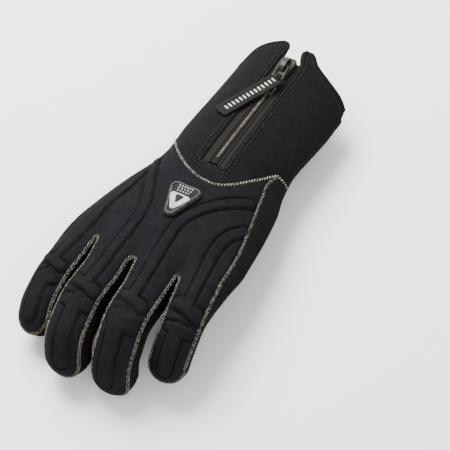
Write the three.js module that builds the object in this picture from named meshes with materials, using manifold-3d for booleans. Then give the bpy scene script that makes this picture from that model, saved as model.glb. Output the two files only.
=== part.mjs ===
// A five-finger diving glove for the left hand, lying palm down with its thumb folded under the palm.
// Millimetres, +Z up. The fingertips point along -Y, the cuff along +Y and the thumb's side is -X.
// The origin is on the floor under the middle of the glove.
//
// The glove is laid out flat first: p runs across the hand toward the little finger, q from the wrist
// toward the fingertips, and h out of the back of the hand. Each finger has a flat frame of its own,
// l along it from its root and c across it. The flat glove is then bent to the shape in which it lies.
import * as THREE from 'three';
import { mergeVertices } from 'three/addons/utils/BufferGeometryUtils.js';
import Module from 'manifold-3d';

// Driving sizes
const HAND_WIDTH = 110;
const PALM_LENGTH = 96;
const FINGER_LENGTH = 88;
const CUFF_LENGTH = 112;
const HAND_DEPTH = 32;
const FINGER_DEPTH = 25;
const HAND_WALL = 4;
const CUFF_WALL = 3;
const SEAM_GAP = 0.3;
const LYING_GAP = 0.8;
const FLOOR_PRESS = 1.4;

// How the glove lies
const WRIST_HEIGHT = 31;
const HAND_RISE = 4.2;
const ARCH_RADIUS = 190;
const ARCH_CENTER = 0.155 * HAND_WIDTH;
const FINGER_BLEND = 0.25 * FINGER_LENGTH;

// A table is a list of named columns and a row for each section
const table = (columns, rows) => rows.map(
  (row) => Object.fromEntries(columns.map((column, index) => [column, row[index]])),
);

// Root and web places as shares of the hand's width and the palm's length, lengths and widths as
// shares of the longest finger, and the bends at the knuckle, the middle joint and the end joint
const FINGERS = table(
  ['name', 'length', 'width', 'tip', 'turn', 'knuckle', 'middle', 'end'],
  [
    ['index', 0.80, 0.290, 0.270, -1.6, 0.6, 14, 26],
    ['middle', 1.00, 0.302, 0.290, 0.2, -3.7, 27, 46],
    ['ring', 1.00, 0.298, 0.280, 3.2, -4.7, 49, 41],
    ['little', 0.84, 0.272, 0.258, 7.7, 0, 32, 28],
  ],
);
const MIDDLE_JOINT = 0.45;
const END_JOINT = 0.73;
const JOINT_SPREAD = 0.22;

// The five places where a finger's side begins: the thumb side, three webs and the far side
const WEBS = table(
  ['across', 'along'],
  [
    [-0.600, 0.90],
    [-0.362, 0.92],
    [-0.063, 1.005],
    [0.190, 0.99],
    [0.405, 0.68],
  ],
);
const WEB_RADIUS = 3.4;
const VALLEY_DEPTH = 4;
const VALLEY_WIDTH = 1.8 * WEB_RADIUS;
const VALLEY_LENGTH = 0.25 * PALM_LENGTH;

// Sections of hand and cuff. 'at' is a share of the palm's length, or below zero of the cuff's.
// The sides are shares of the hand's width, the depths of its depth, and the bulges stand out of
// the sides between the back's seam and the palm's.
const SECTIONS = table(
  ['at', 'thumbSide', 'farSide', 'back', 'palm', 'edge', 'thumbBulge', 'farBulge'],
  [
    [-1.10, -0.335, 0.430, 0.50, 0.80, 0.12, 0.010, 0.012],
    [-0.60, -0.350, 0.425, 0.54, 0.79, 0.16, 0.014, 0.016],
    [-0.20, -0.355, 0.370, 0.60, 0.64, 0.24, 0.020, 0.030],
    [0.00, -0.340, 0.312, 0.62, 0.60, 0.28, 0.020, 0.105],
    [0.15, -0.370, 0.330, 0.60, 0.50, 0.28, 0.020, 0.118],
    [0.37, -0.462, 0.362, 0.58, 0.40, 0.27, 0.020, 0.106],
    [0.60, -0.540, 0.392, 0.55, 0.38, 0.26, 0.018, 0.085],
    [0.80, -0.590, 0.405, 0.50, 0.38, 0.26, 0.014, 0.074],
    [1.05, -0.600, 0.420, 0.46, 0.40, 0.25, 0.012, 0.055],
    [1.40, -0.590, 0.450, 0.44, 0.40, 0.25, 0.012, 0.020],
  ],
);
const SECTION_POWER = 2.6;

// Finger sections, as shares of the finger's depth
const FINGER_BACK = 0.54;
const FINGER_PALM = 0.50;
const FINGER_EDGE = 0.31;
const FINGER_THINNING = 0.12;
const FINGER_BULGE = 1.3;

// The seam between cuff and hand: a rounded V on the back, straight round the sides and palm
const SEAM_APEX_ACROSS = 0.055 * HAND_WIDTH;
const SEAM_APEX = 0.275 * PALM_LENGTH;
const SEAM_SIDE = -0.085 * PALM_LENGTH;
const SEAM_ROUNDING = 1.5;

// The zip opening in the back of the cuff, and the cuff's upper edge with a horn on either side of it
const ZIP_CENTER = 0.008 * HAND_WIDTH;
const ZIP_WIDTH = 15;
const ZIP_BOTTOM = 0.12 * PALM_LENGTH;
const EDGE = table(
  ['across', 'along'],
  [
    [-0.335, -0.80],
    [-0.284, -0.93],
    [-0.200, -1.02],
    [-0.105, -1.06],
    [-0.072, -1.03],
    [-0.058, -0.95],
    [0.062, -0.95],
    [0.080, -1.02],
    [0.112, -1.03],
    [0.160, -0.975],
    [0.330, -0.815],
    [0.425, -0.745],
  ],
);

// Grid counts
const FINGER_COLUMNS = 4;
const HAND_COLUMNS = FINGER_COLUMNS * FINGERS.length;
const HAND_ROWS = 8;
const CUFF_ROWS = 9;
const WEB_ROWS = 3;
const STRAIGHT_ROWS = 10;
const TIP_ROWS = 5;
const FINGER_ROWS = WEB_ROWS + STRAIGHT_ROWS + TIP_ROWS;
const SIDE_STEPS = [1, 0.4, -0.4, -1];

const radians = THREE.MathUtils.degToRad;
const lerp = THREE.MathUtils.lerp;
const clamp = THREE.MathUtils.clamp;
const smooth = (value) => {
  const t = clamp(value, 0, 1);
  return t * t * (3 - 2 * t);
};

// A smooth curve through one column of a table
function curveValue(rows, key, column, at) {
  const last = rows.length - 1;
  let k = 0;
  while (k < last - 1 && at > rows[k + 1][key]) {
    k += 1;
  }
  const slope = (a, b) => (rows[b][column] - rows[a][column]) / (rows[b][key] - rows[a][key]);
  const span = rows[k + 1][key] - rows[k][key];
  const t = clamp((at - rows[k][key]) / span, 0, 1);
  const startSlope = k > 0 ? slope(k - 1, k + 1) : slope(k, k + 1);
  const endSlope = k + 2 <= last ? slope(k, k + 2) : slope(k, k + 1);
  const a = rows[k][column];
  const b = rows[k + 1][column];
  return a * (1 + 2 * t) * (1 - t) ** 2 + b * t * t * (3 - 2 * t)
    + span * t * (1 - t) * (startSlope * (1 - t) - endSlope * t);
}

// The section of hand and cuff at q: sides, heights and bulges in millimetres
function sectionAt(q) {
  const at = q < 0 ? q / CUFF_LENGTH : q / PALM_LENGTH;
  const value = (column) => curveValue(SECTIONS, 'at', column, at);
  return {
    sides: [value('thumbSide') * HAND_WIDTH, value('farSide') * HAND_WIDTH],
    bulges: [value('thumbBulge') * HAND_WIDTH, value('farBulge') * HAND_WIDTH],
    back: value('back') * HAND_DEPTH,
    palm: value('palm') * HAND_DEPTH,
    edge: value('edge') * HAND_DEPTH,
  };
}

const webPoints = WEBS.map((web) => ({ p: web.across * HAND_WIDTH, q: web.along * PALM_LENGTH }));

// Shallow valleys run back from the webs between the knuckles
function valleyAt(p, q) {
  let depth = 0;
  for (const web of webPoints.slice(1, -1)) {
    const near = Math.exp(-(((p - web.p) / VALLEY_WIDTH) ** 2));
    depth += near * smooth((q - web.q) / VALLEY_LENGTH + 1);
  }
  return VALLEY_DEPTH * Math.min(depth, 1);
}

// Heights of the back and of the palm over the middle sheet of the hand
function handHeights(p, q) {
  const section = sectionAt(q);
  const middle = (section.sides[0] + section.sides[1]) / 2;
  const half = (section.sides[1] - section.sides[0]) / 2;
  const dome = 1 - Math.min(Math.abs((p - middle) / half), 1) ** SECTION_POWER;
  const valley = valleyAt(p, q) * Math.min(2 * dome, 1);
  return {
    back: lerp(section.edge, section.back, dome) - valley,
    palm: lerp(section.edge, section.palm, dome) - valley / 2,
  };
}

// Each finger's flat frame and measures
const fingers = FINGERS.map((row, index) => {
  const start = webPoints[index];
  const end = webPoints[index + 1];
  return {
    ...row,
    index,
    root: { p: (start.p + end.p) / 2, q: (start.q + end.q) / 2 },
    length: row.length * FINGER_LENGTH,
    half: row.width * FINGER_LENGTH / 2,
    tipHalf: row.tip * FINGER_LENGTH / 2,
    cos: Math.cos(radians(row.turn)),
    sin: Math.sin(radians(row.turn)),
  };
});

function toFlat(finger, l, c) {
  return {
    p: finger.root.p + l * finger.sin + c * finger.cos,
    q: finger.root.q + l * finger.cos - c * finger.sin,
  };
}

function toFinger(finger, p, q) {
  const across = p - finger.root.p;
  const along = q - finger.root.q;
  return {
    l: along * finger.cos + across * finger.sin,
    c: across * finger.cos - along * finger.sin,
  };
}

for (const finger of fingers) {
  const start = webPoints[finger.index];
  const end = webPoints[finger.index + 1];
  finger.bases = [toFinger(finger, start.p, start.q), toFinger(finger, end.p, end.q)];
}

// The hand's middle sheet: an arch across, rising toward the knuckles
function bendHand(p, q, h) {
  const angle = (p - ARCH_CENTER) / ARCH_RADIUS;
  const radius = ARCH_RADIUS + h;
  const rise = radians(HAND_RISE);
  const up = radius * Math.cos(angle) - ARCH_RADIUS;
  return new THREE.Vector3(
    ARCH_CENTER + radius * Math.sin(angle),
    -q * Math.cos(rise) + up * Math.sin(rise),
    WRIST_HEIGHT + q * Math.sin(rise) + up * Math.cos(rise),
  );
}

// A finger's own directions where it leaves the hand
for (const finger of fingers) {
  const { p, q } = finger.root;
  const origin = bendHand(p, q, 0);
  const forward = bendHand(p, q + 1, 0).sub(origin).normalize();
  const across = bendHand(p + 0.1, q, 0).sub(origin);
  across.addScaledVector(forward, -across.dot(forward)).normalize();
  finger.origin = origin;
  finger.up = new THREE.Vector3().crossVectors(forward, across).normalize();
  finger.forward = forward.clone().multiplyScalar(finger.cos).addScaledVector(across, finger.sin);
  finger.across = across.clone().multiplyScalar(finger.cos).addScaledVector(forward, -finger.sin);
}

// How far a finger is bent down at l, and the path of its middle sheet
function fingerAngle(finger, l) {
  const spread = JOINT_SPREAD * finger.length;
  const bend = (degrees, from, length) => radians(degrees) * smooth((l - from) / length);
  return bend(finger.knuckle, 0, FINGER_BLEND)
    + bend(finger.middle, MIDDLE_JOINT * finger.length - spread / 2, spread)
    + bend(finger.end, END_JOINT * finger.length - spread / 2, spread);
}

const PATH_STEP = 0.5;
for (const finger of fingers) {
  finger.path = [{ along: 0, up: 0 }];
  for (let l = PATH_STEP; l < finger.length + 2 * PATH_STEP; l += PATH_STEP) {
    const angle = fingerAngle(finger, l - PATH_STEP / 2);
    const before = finger.path.at(-1);
    finger.path.push({
      along: before.along + PATH_STEP * Math.cos(angle),
      up: before.up - PATH_STEP * Math.sin(angle),
    });
  }
}

function pathAt(finger, l) {
  if (l <= 0) {
    return { along: l, up: 0 };
  }
  const at = l / PATH_STEP;
  const k = Math.min(Math.floor(at), finger.path.length - 2);
  const [a, b] = [finger.path[k], finger.path[k + 1]];
  return { along: lerp(a.along, b.along, at - k), up: lerp(a.up, b.up, at - k) };
}

function bendFinger(finger, l, c, h) {
  const path = pathAt(finger, l);
  const angle = fingerAngle(finger, l);
  return finger.origin.clone()
    .addScaledVector(finger.forward, path.along + h * Math.sin(angle))
    .addScaledVector(finger.across, c)
    .addScaledVector(finger.up, path.up + h * Math.cos(angle));
}

// How far a place on a finger has left the hand: 0 at the line between its webs, 1 past the blend
function leaving(finger, l, c) {
  const share = clamp((c / finger.half + 1) / 2, 0, 1);
  return smooth((l - lerp(finger.bases[0].l, finger.bases[1].l, share)) / FINGER_BLEND);
}

function placeFinger(finger, l, c, h) {
  const { p, q } = toFlat(finger, l, c);
  return bendHand(p, q, h).lerp(bendFinger(finger, l, c, h), leaving(finger, l, c));
}

// Heights of a finger's back and palm. 'rim' is 0 on its middle line and 1 at its seams.
function fingerHeights(finger, l, c, rim) {
  const { p, q } = toFlat(finger, l, c);
  const hand = handHeights(p, q);
  const depth = FINGER_DEPTH * (1 - FINGER_THINNING * clamp(l / finger.length, 0, 1));
  const dome = 1 - Math.min(rim, 1) ** SECTION_POWER;
  const share = leaving(finger, l, c);
  const height = (full) => depth * lerp(FINGER_EDGE, full, dome);
  return {
    back: lerp(hand.back, height(FINGER_BACK), share),
    palm: lerp(hand.palm, height(FINGER_PALM), share),
  };
}

// Place on a finger's outline: row 0 is at the web and the last row at the tip, side is -1 or 1.
// 'inset' moves it into the glove along the outline's normal.
function outline(finger, row, side, inset) {
  const end = side < 0 ? 0 : 1;
  const base = finger.bases[end];
  const reach = Math.abs(base.c);
  const isWeb = finger.index + end > 0 && finger.index + end < fingers.length;
  const halfAt = (l) => lerp(finger.half, finger.tipHalf, clamp(l / finger.length, 0, 1));
  const tipStart = finger.length - finger.tipHalf;
  if (row < WEB_ROWS && isWeb) {
    const angle = (row / WEB_ROWS) * Math.PI / 2;
    const gap = reach - finger.half;
    const between = (fingers[finger.index + end - 1].turn + fingers[finger.index + end].turn) / 2;
    const tilt = radians(between - finger.turn) * Math.cos(angle);
    return {
      l: base.l + WEB_RADIUS - (WEB_RADIUS + inset * Math.cos(tilt)) * Math.cos(angle),
      c: side * (reach - (gap + inset) * Math.sin(angle)) - inset * Math.sin(tilt),
    };
  }
  if (row <= WEB_ROWS + STRAIGHT_ROWS) {
    const webShare = Math.min(row / WEB_ROWS, 1);
    const from = base.l + WEB_RADIUS * (1 - Math.cos(webShare * Math.PI / 2));
    const l = lerp(from, tipStart, Math.max(row - WEB_ROWS, 0) / STRAIGHT_ROWS);
    const flare = isWeb ? 0 : (reach - finger.half) * (1 - smooth((l - base.l) / FINGER_BLEND));
    return { l, c: side * (halfAt(l) + flare - inset) };
  }
  const angle = ((row - WEB_ROWS - STRAIGHT_ROWS) / TIP_ROWS) * Math.PI / 2;
  return {
    l: tipStart + (finger.tipHalf - inset) * Math.sin(angle),
    c: side * (halfAt(tipStart) - inset) * Math.cos(angle),
  };
}

// The outline's outward direction in a finger's own frame
function outlineNormal(finger, row, side) {
  const out = outline(finger, row, side, 0);
  const inner = outline(finger, row, side, 1);
  return { l: out.l - inner.l, c: out.c - inner.c };
}

// How far a row's place u, from -1 to 1 across the finger, is toward the seam
function rimShare(row, u) {
  const angle = Math.max(row - WEB_ROWS - STRAIGHT_ROWS, 0) / TIP_ROWS * Math.PI / 2;
  return Math.hypot(u * Math.cos(angle), Math.sin(angle));
}

// The V seam's place along the glove at p
function seamAt(p) {
  const { sides } = sectionAt(0);
  const reach = p < SEAM_APEX_ACROSS ? sides[0] - SEAM_APEX_ACROSS : sides[1] - SEAM_APEX_ACROSS;
  const share = clamp((p - SEAM_APEX_ACROSS) / reach, 0, 1);
  const bow = (at) => Math.hypot(at, SEAM_ROUNDING) - SEAM_ROUNDING;
  return lerp(SEAM_APEX, SEAM_SIDE, bow(share) / bow(1));
}

// The cuff's columns across the back: even on either side of the zip, with two lines on its edges
const zipEdges = [ZIP_CENTER - ZIP_WIDTH / 2, ZIP_CENTER + ZIP_WIDTH / 2];
const ZIP_COLUMN = 7;
const ZIP_COLUMNS = 3;
function cuffColumn(column, sides) {
  if (column <= ZIP_COLUMN) {
    return lerp(sides[0], zipEdges[0], column / ZIP_COLUMN);
  }
  if (column <= ZIP_COLUMN + ZIP_COLUMNS) {
    return lerp(zipEdges[0], zipEdges[1], (column - ZIP_COLUMN) / ZIP_COLUMNS);
  }
  const rest = HAND_COLUMNS - ZIP_COLUMN - ZIP_COLUMNS;
  return lerp(zipEdges[1], sides[1], (column - ZIP_COLUMN - ZIP_COLUMNS) / rest);
}

// The soft underside is pressed flat where it would go below the floor: an outer face ends on the
// floor and an inner face a wall's thickness above it
const onFloor = (point, least) => point.setZ(Math.max(point.z, least));

// A shell is a sheet with an outer and an inner face of the same grid, closed round its borders
class Shell {
  constructor(wall) {
    this.wall = wall;
    this.outer = [];
    this.inner = [];
    this.triangles = [];
  }

  add(outer, inner) {
    this.outer.push(onFloor(outer, 0));
    this.inner.push(onFloor(inner, this.wall));
    return this.outer.length - 1;
  }

  quad(a, b, c, d) {
    this.triangles.push([a, b, c], [a, c, d]);
  }

  // Quads between two rows of points, or a fan where a row is a single point
  strip(first, second) {
    if (second.length === 1) {
      for (let k = 0; k + 1 < first.length; k += 1) {
        this.triangles.push([first[k], first[k + 1], second[0]]);
      }
      return;
    }
    for (let k = 0; k + 1 < first.length; k += 1) {
      this.quad(first[k], first[k + 1], second[k + 1], second[k]);
    }
  }

  geometry() {
    const points = [...this.outer, ...this.inner];
    const shift = this.outer.length;
    const faces = [];
    const borders = new Map();
    for (const [a, b, c] of this.triangles) {
      faces.push([a, b, c], [c + shift, b + shift, a + shift]);
      for (const [from, to] of [[a, b], [b, c], [c, a]]) {
        if (!borders.delete(`${to}/${from}`)) {
          borders.set(`${from}/${to}`, [from, to]);
        }
      }
    }
    for (const [from, to] of borders.values()) {
      faces.push([to, from, from + shift], [to, from + shift, to + shift]);
    }
    return facesGeometry(points, faces);
  }
}

function facesGeometry(points, faces) {
  const geometry = new THREE.BufferGeometry();
  const numbers = points.flatMap((point) => [point.x, point.y, point.z]);
  geometry.setAttribute('position', new THREE.Float32BufferAttribute(numbers, 3));
  geometry.setIndex(faces.flat());
  return turnedOut(mergeVertices(geometry, 1e-4));
}

// Faces are turned over where a grid was walked the other way round, so that they all point out
function turnedOut(geometry) {
  const position = geometry.getAttribute('position');
  const index = geometry.getIndex();
  const corners = [new THREE.Vector3(), new THREE.Vector3(), new THREE.Vector3()];
  let volume = 0;
  for (let k = 0; k < index.count; k += 3) {
    corners.forEach((corner, n) => corner.fromBufferAttribute(position, index.getX(k + n)));
    volume += corners[0].dot(corners[1].clone().cross(corners[2]));
  }
  if (volume < 0) {
    const order = Array.from(index.array);
    geometry.setIndex(order.map((_, k) => order[k - (k % 3) + (2 - (k % 3))]));
  }
  return geometry;
}

// How far each piece's outer edge stands back from a seam's middle
const SEAM_TRIM = 0.8 * SEAM_GAP;

// Where a column of the seam between cuff and back lies
function seamPoint(column) {
  const start = cuffColumn(column, sectionAt(0).sides);
  const p = cuffColumn(column, sectionAt(seamAt(start)).sides);
  return { p, q: seamAt(p) };
}

// A column's place on the line between the webs
function webPoint(column, inset) {
  const index = Math.min(Math.floor(column / FINGER_COLUMNS), fingers.length - 1);
  const finger = fingers[index];
  const share = column / FINGER_COLUMNS - index;
  const [left, right] = [outline(finger, 0, -1, inset), outline(finger, 0, 1, inset)];
  return toFlat(finger, lerp(left.l, right.l, share), lerp(left.c, right.c, share));
}

const acrossShare = (p, sides) => (p - sides[0]) / (sides[1] - sides[0]);

// The palm's edge bends in where the thumb opens into the hand
const BAY_START = 0.05 * PALM_LENGTH;
const BAY_END = 0.60 * PALM_LENGTH;
const BAY_DEPTH = 0.16 * HAND_WIDTH;
function bayAt(q) {
  const share = clamp((q - BAY_START) / (BAY_END - BAY_START), 0, 1);
  return BAY_DEPTH * Math.sin(Math.PI * share);
}

// A place on the hand's grid: column 0 to HAND_COLUMNS across, share 0 at the seam and 1 at the webs
function handPlace(face, column, share, inset) {
  const web = webPoint(column, inset);
  const even = { p: lerp(...sectionAt(SEAM_SIDE).sides, column / HAND_COLUMNS), q: SEAM_SIDE };
  const seam = face === 'back' ? seamPoint(column) : even;
  const start = seam.q + SEAM_TRIM;
  const q = lerp(start, web.q, share);
  const rim = column === 0 ? -inset : 0;
  const farRim = column === HAND_COLUMNS ? inset : 0;
  const startShare = acrossShare(seam.p, sectionAt(seam.q).sides);
  const endShare = acrossShare(web.p + rim + farRim, sectionAt(web.q).sides);
  const across = lerp(startShare, endShare, share);
  const { sides } = sectionAt(q);
  const middle = 1 - 2 * column / HAND_COLUMNS;
  return { p: lerp(sides[0], sides[1], across) + inset * middle, q };
}

// The back or palm panel: the hand and four fingers in one sheet
function handPanel(face) {
  const up = face === 'back' ? 1 : -1;
  const shell = new Shell(HAND_WALL);
  const inset = SEAM_TRIM + HAND_WALL;
  const rows = [];
  for (let row = 0; row <= HAND_ROWS; row += 1) {
    rows.push([]);
    for (let column = 0; column <= HAND_COLUMNS; column += 1) {
      const share = row / HAND_ROWS;
      const outer = handPlace(face, column, share, SEAM_TRIM);
      const inner = handPlace(face, column, share, inset);
      const height = handHeights(outer.p, outer.q)[face];
      const bay = face === 'palm' ? (1 - column / HAND_COLUMNS) : 0;
      rows.at(-1).push(shell.add(
        bendHand(outer.p + bay * bayAt(outer.q), outer.q, up * height),
        bendHand(inner.p + bay * bayAt(inner.q), inner.q, up * (height - HAND_WALL)),
      ));
    }
  }
  for (let row = 0; row < HAND_ROWS; row += 1) {
    shell.strip(rows[row], rows[row + 1]);
  }
  for (const finger of fingers) {
    const first = finger.index * FINGER_COLUMNS;
    let before = rows.at(-1).slice(first, first + FINGER_COLUMNS + 1);
    for (let row = 1; row <= FINGER_ROWS; row += 1) {
      const columns = row === FINGER_ROWS ? 0 : FINGER_COLUMNS;
      const points = [];
      for (let column = 0; column <= columns; column += 1) {
        const u = columns ? 2 * column / columns - 1 : 0;
        points.push(addFingerPoint(shell, finger, row, u, face, up, inset));
      }
      shell.strip(before, points);
      before = points;
    }
  }
  return shell.geometry();
}

function addFingerPoint(shell, finger, row, u, face, up, inset) {
  const place = (depth) => {
    const [left, right] = [outline(finger, row, -1, depth), outline(finger, row, 1, depth)];
    const share = (u + 1) / 2;
    return { l: lerp(left.l, right.l, share), c: lerp(left.c, right.c, share) };
  };
  const [outer, inner] = [place(SEAM_TRIM), place(inset)];
  const height = fingerHeights(finger, outer.l, outer.c, rimShare(row, u))[face];
  return shell.add(
    placeFinger(finger, outer.l, outer.c, up * height),
    placeFinger(finger, inner.l, inner.c, up * (height - HAND_WALL)),
  );
}

// Side strips: each runs round one finger from web to web, and the outer two go on to the cuff
function sideStrip(finger) {
  const shell = new Shell(HAND_WALL);
  const stations = [];
  const handStations = (column, side) => {
    for (let row = 0; row < HAND_ROWS; row += 1) {
      stations.push({ column, side, share: row / HAND_ROWS });
    }
  };
  if (finger.index === 0) {
    handStations(0, -1);
  }
  for (let row = 0; row <= FINGER_ROWS; row += 1) {
    stations.push({ row, side: -1 });
  }
  const back = [];
  for (let row = FINGER_ROWS - 1; row >= 0; row -= 1) {
    back.push({ row, side: 1 });
  }
  stations.push(...back);
  if (finger.index === fingers.length - 1) {
    const start = stations.length;
    handStations(HAND_COLUMNS, 1);
    stations.push(...stations.splice(start).reverse());
  }
  let before = null;
  for (const station of stations) {
    const points = station.row === undefined
      ? handSidePoints(shell, station) : fingerSidePoints(shell, finger, station);
    if (before) {
      shell.strip(before, points);
    }
    before = points;
  }
  return shell.geometry();
}

function sidePoints(shell, heights, bulge, place) {
  return SIDE_STEPS.map((step) => {
    const level = (trim) => lerp(-heights.palm + trim, heights.back - trim, (step + 1) / 2);
    const stand = bulge * (1 - step * step);
    const outer = place(-stand, level(SEAM_TRIM));
    const inner = place(HAND_WALL - stand, level(SEAM_TRIM + HAND_WALL));
    return shell.add(outer, inner);
  });
}

function handSidePoints(shell, { column, side, share }) {
  const flat = handPlace('palm', column, share, 0);
  const { bulges } = sectionAt(flat.q);
  return sidePoints(shell, handHeights(flat.p, flat.q), bulges[side < 0 ? 0 : 1], (inset, height) => (
    bendHand(flat.p - side * inset, flat.q, height)
  ));
}

function fingerSidePoints(shell, finger, { row, side }) {
  const flat = outline(finger, row, side, 0);
  const normal = outlineNormal(finger, row, side);
  const end = side < 0 ? 0 : 1;
  const isWeb = finger.index + end > 0 && finger.index + end < fingers.length;
  const web = webPoints[finger.index + end];
  const rootBulge = isWeb ? 0 : sectionAt(web.q).bulges[end];
  const passed = (flat.l - finger.bases[end].l) / (2.5 * FINGER_BLEND);
  const bulge = lerp(rootBulge, FINGER_BULGE, smooth(passed));
  const heights = fingerHeights(finger, flat.l, flat.c, 1);
  const shift = isWeb && row === 0 ? side * SEAM_GAP / 2 : 0;
  return sidePoints(shell, heights, bulge, (inset, height) => (
    placeFinger(finger, flat.l - inset * normal.l, flat.c - shift - inset * normal.c, height)
  ));
}

// The cuff: a tube with a V-shaped lower edge, an opening for the zip and two horns
const FIRST_SHARE = 0.115;
function cuff() {
  const shell = new Shell(CUFF_WALL);
  const between = SIDE_STEPS.slice(1, -1);
  const columns = [];
  for (let column = 0; column <= HAND_COLUMNS; column += 1) {
    columns.push({ face: 'back', column });
  }
  columns.push(...between.map((step) => ({ face: 'side', side: 1, step })));
  for (let column = HAND_COLUMNS; column >= 0; column -= 1) {
    columns.push({ face: 'palm', column });
  }
  columns.push(...between.toReversed().map((step) => ({ face: 'side', side: -1, step })));
  const rows = [];
  for (let row = 0; row <= CUFF_ROWS; row += 1) {
    const share = row === 0 ? 0 : lerp(FIRST_SHARE, 1, (row - 1) / (CUFF_ROWS - 1));
    const points = columns.map((column) => addCuffPoint(shell, column, row, share));
    rows.push([...points, points[0]]);
  }
  for (let row = 0; row < CUFF_ROWS; row += 1) {
    if (row === 0) {
      shell.strip(rows[0], rows[1]);
    } else {
      shell.strip(rows[row].slice(0, ZIP_COLUMN + 1), rows[row + 1].slice(0, ZIP_COLUMN + 1));
      const next = ZIP_COLUMN + ZIP_COLUMNS;
      shell.strip(rows[row].slice(next), rows[row + 1].slice(next));
    }
  }
  return shell.geometry();
}

// The cuff's upper edge at a column: the horned edge on the back, and a plain one round the palm
function cuffTop(face, column, side, seam) {
  if (face === 'back') {
    return curveValue(EDGE, 'across', 'along', seam.p / HAND_WIDTH) * CUFF_LENGTH;
  }
  const share = face === 'palm' ? column / HAND_COLUMNS : (side + 1) / 2;
  return lerp(EDGE[0].along, EDGE.at(-1).along, share) * CUFF_LENGTH;
}

function addCuffPoint(shell, { face, column, side, step }, row, share) {
  const isZip = face === 'back' && column >= ZIP_COLUMN && column <= ZIP_COLUMN + ZIP_COLUMNS;
  const seam = face === 'back' ? seamPoint(column) : { q: SEAM_SIDE };
  const top = cuffTop(face, column, side, seam);
  let q = lerp(seam.q - SEAM_TRIM, top, share);
  if (isZip && row > 0) {
    q = lerp(ZIP_BOTTOM, top, (share - FIRST_SHARE) / (1 - FIRST_SHARE));
  }
  const { sides, bulges } = sectionAt(q);
  if (face === 'side') {
    const p = sides[side < 0 ? 0 : 1];
    const { back, palm } = handHeights(p, q);
    const stand = bulges[side < 0 ? 0 : 1] * (1 - step * step);
    const level = (wall) => lerp(wall - palm, back - wall, (step + 1) / 2);
    return shell.add(
      bendHand(p + side * stand, q, level(0)),
      bendHand(p + side * (stand - CUFF_WALL), q, level(CUFF_WALL)),
    );
  }
  const up = face === 'back' ? 1 : -1;
  const even = lerp(sides[0], sides[1], column / HAND_COLUMNS);
  const p = face === 'back' && row > 0 ? cuffColumn(column, sides) : seam.p ?? even;
  const height = handHeights(p, q)[face];
  const middle = 1 - 2 * column / HAND_COLUMNS;
  const atSeam = row === 0;
  const outerInset = atSeam ? SEAM_TRIM * middle : 0;
  const wallInset = atSeam ? (SEAM_TRIM + HAND_WALL) * middle : CUFF_WALL * middle;
  const innerInset = isZip && !atSeam ? 0 : wallInset;
  return shell.add(
    bendHand(p + outerInset, q, up * height),
    bendHand(p + innerInset, q, up * (height - CUFF_WALL)),
  );
}

// The back's relief: raised bars like the bones of a hand. A bar's height is over the back and its
// depth is how far its foot is sunk; it slopes down at both ends.
const BAR_WIDTH = 5;
const BAR_FOOT = 6.4;
const BAR_HEIGHT = 1.1;
const BAR_DEPTH = 1.6;
const BAR_STEP = 7;

// Rows of one finger and bar follow its middle line. 'along' and 'across' are shares of the longest
// finger, in the finger's own frame.
const BARS = table(
  ['finger', 'bar', 'along', 'across'],
  [
    [0, 'palm', -0.600, 0.125],
    [0, 'palm', -0.470, 0.120],
    [0, 'palm', -0.260, 0.065],
    [0, 'palm', 0.000, 0.030],
    [0, 'palm', 0.270, 0.005],
    [0, 'joint', 0.300, -0.090],
    [0, 'joint', 0.310, 0.010],
    [0, 'joint', 0.335, 0.100],
    [0, 'second', 0.440, -0.075],
    [0, 'second', 0.430, 0.005],
    [0, 'second', 0.440, 0.085],
    [0, 'end', 0.440, 0.030],
    [0, 'end', 0.580, 0.030],
    [1, 'palm', -0.820, -0.135],
    [1, 'palm', -0.660, -0.072],
    [1, 'palm', -0.430, 0.022],
    [1, 'palm', -0.250, 0.048],
    [1, 'palm', 0.060, 0.030],
    [1, 'palm', 0.370, 0.020],
    [1, 'joint', 0.385, -0.090],
    [1, 'joint', 0.395, 0.020],
    [1, 'joint', 0.420, 0.120],
    [1, 'second', 0.515, -0.085],
    [1, 'second', 0.500, 0.020],
    [1, 'second', 0.510, 0.115],
    [1, 'end', 0.510, 0.060],
    [1, 'end', 0.770, 0.070],
    [2, 'palm', -0.760, 0.300],
    [2, 'palm', -0.690, 0.215],
    [2, 'palm', -0.580, 0.115],
    [2, 'palm', -0.440, 0.025],
    [2, 'palm', -0.310, -0.010],
    [2, 'palm', -0.050, -0.018],
    [2, 'palm', 0.330, -0.012],
    [2, 'joint', 0.335, -0.110],
    [2, 'joint', 0.345, -0.005],
    [2, 'joint', 0.370, 0.095],
    [2, 'second', 0.470, -0.095],
    [2, 'second', 0.455, 0.005],
    [2, 'second', 0.465, 0.100],
    [2, 'end', 0.470, 0.015],
    [2, 'end', 0.720, 0.030],
    [3, 'palm', -0.360, 0.095],
    [3, 'palm', -0.300, 0.055],
    [3, 'palm', -0.160, 0.012],
    [3, 'palm', 0.080, 0.000],
    [3, 'palm', 0.330, 0.000],
    [3, 'joint', 0.350, -0.100],
    [3, 'joint', 0.355, 0.000],
    [3, 'joint', 0.370, 0.095],
    [3, 'second', 0.480, -0.090],
    [3, 'second', 0.468, 0.000],
    [3, 'second', 0.475, 0.088],
    [3, 'end', 0.480, 0.015],
    [3, 'end', 0.660, 0.015],
  ],
);

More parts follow.
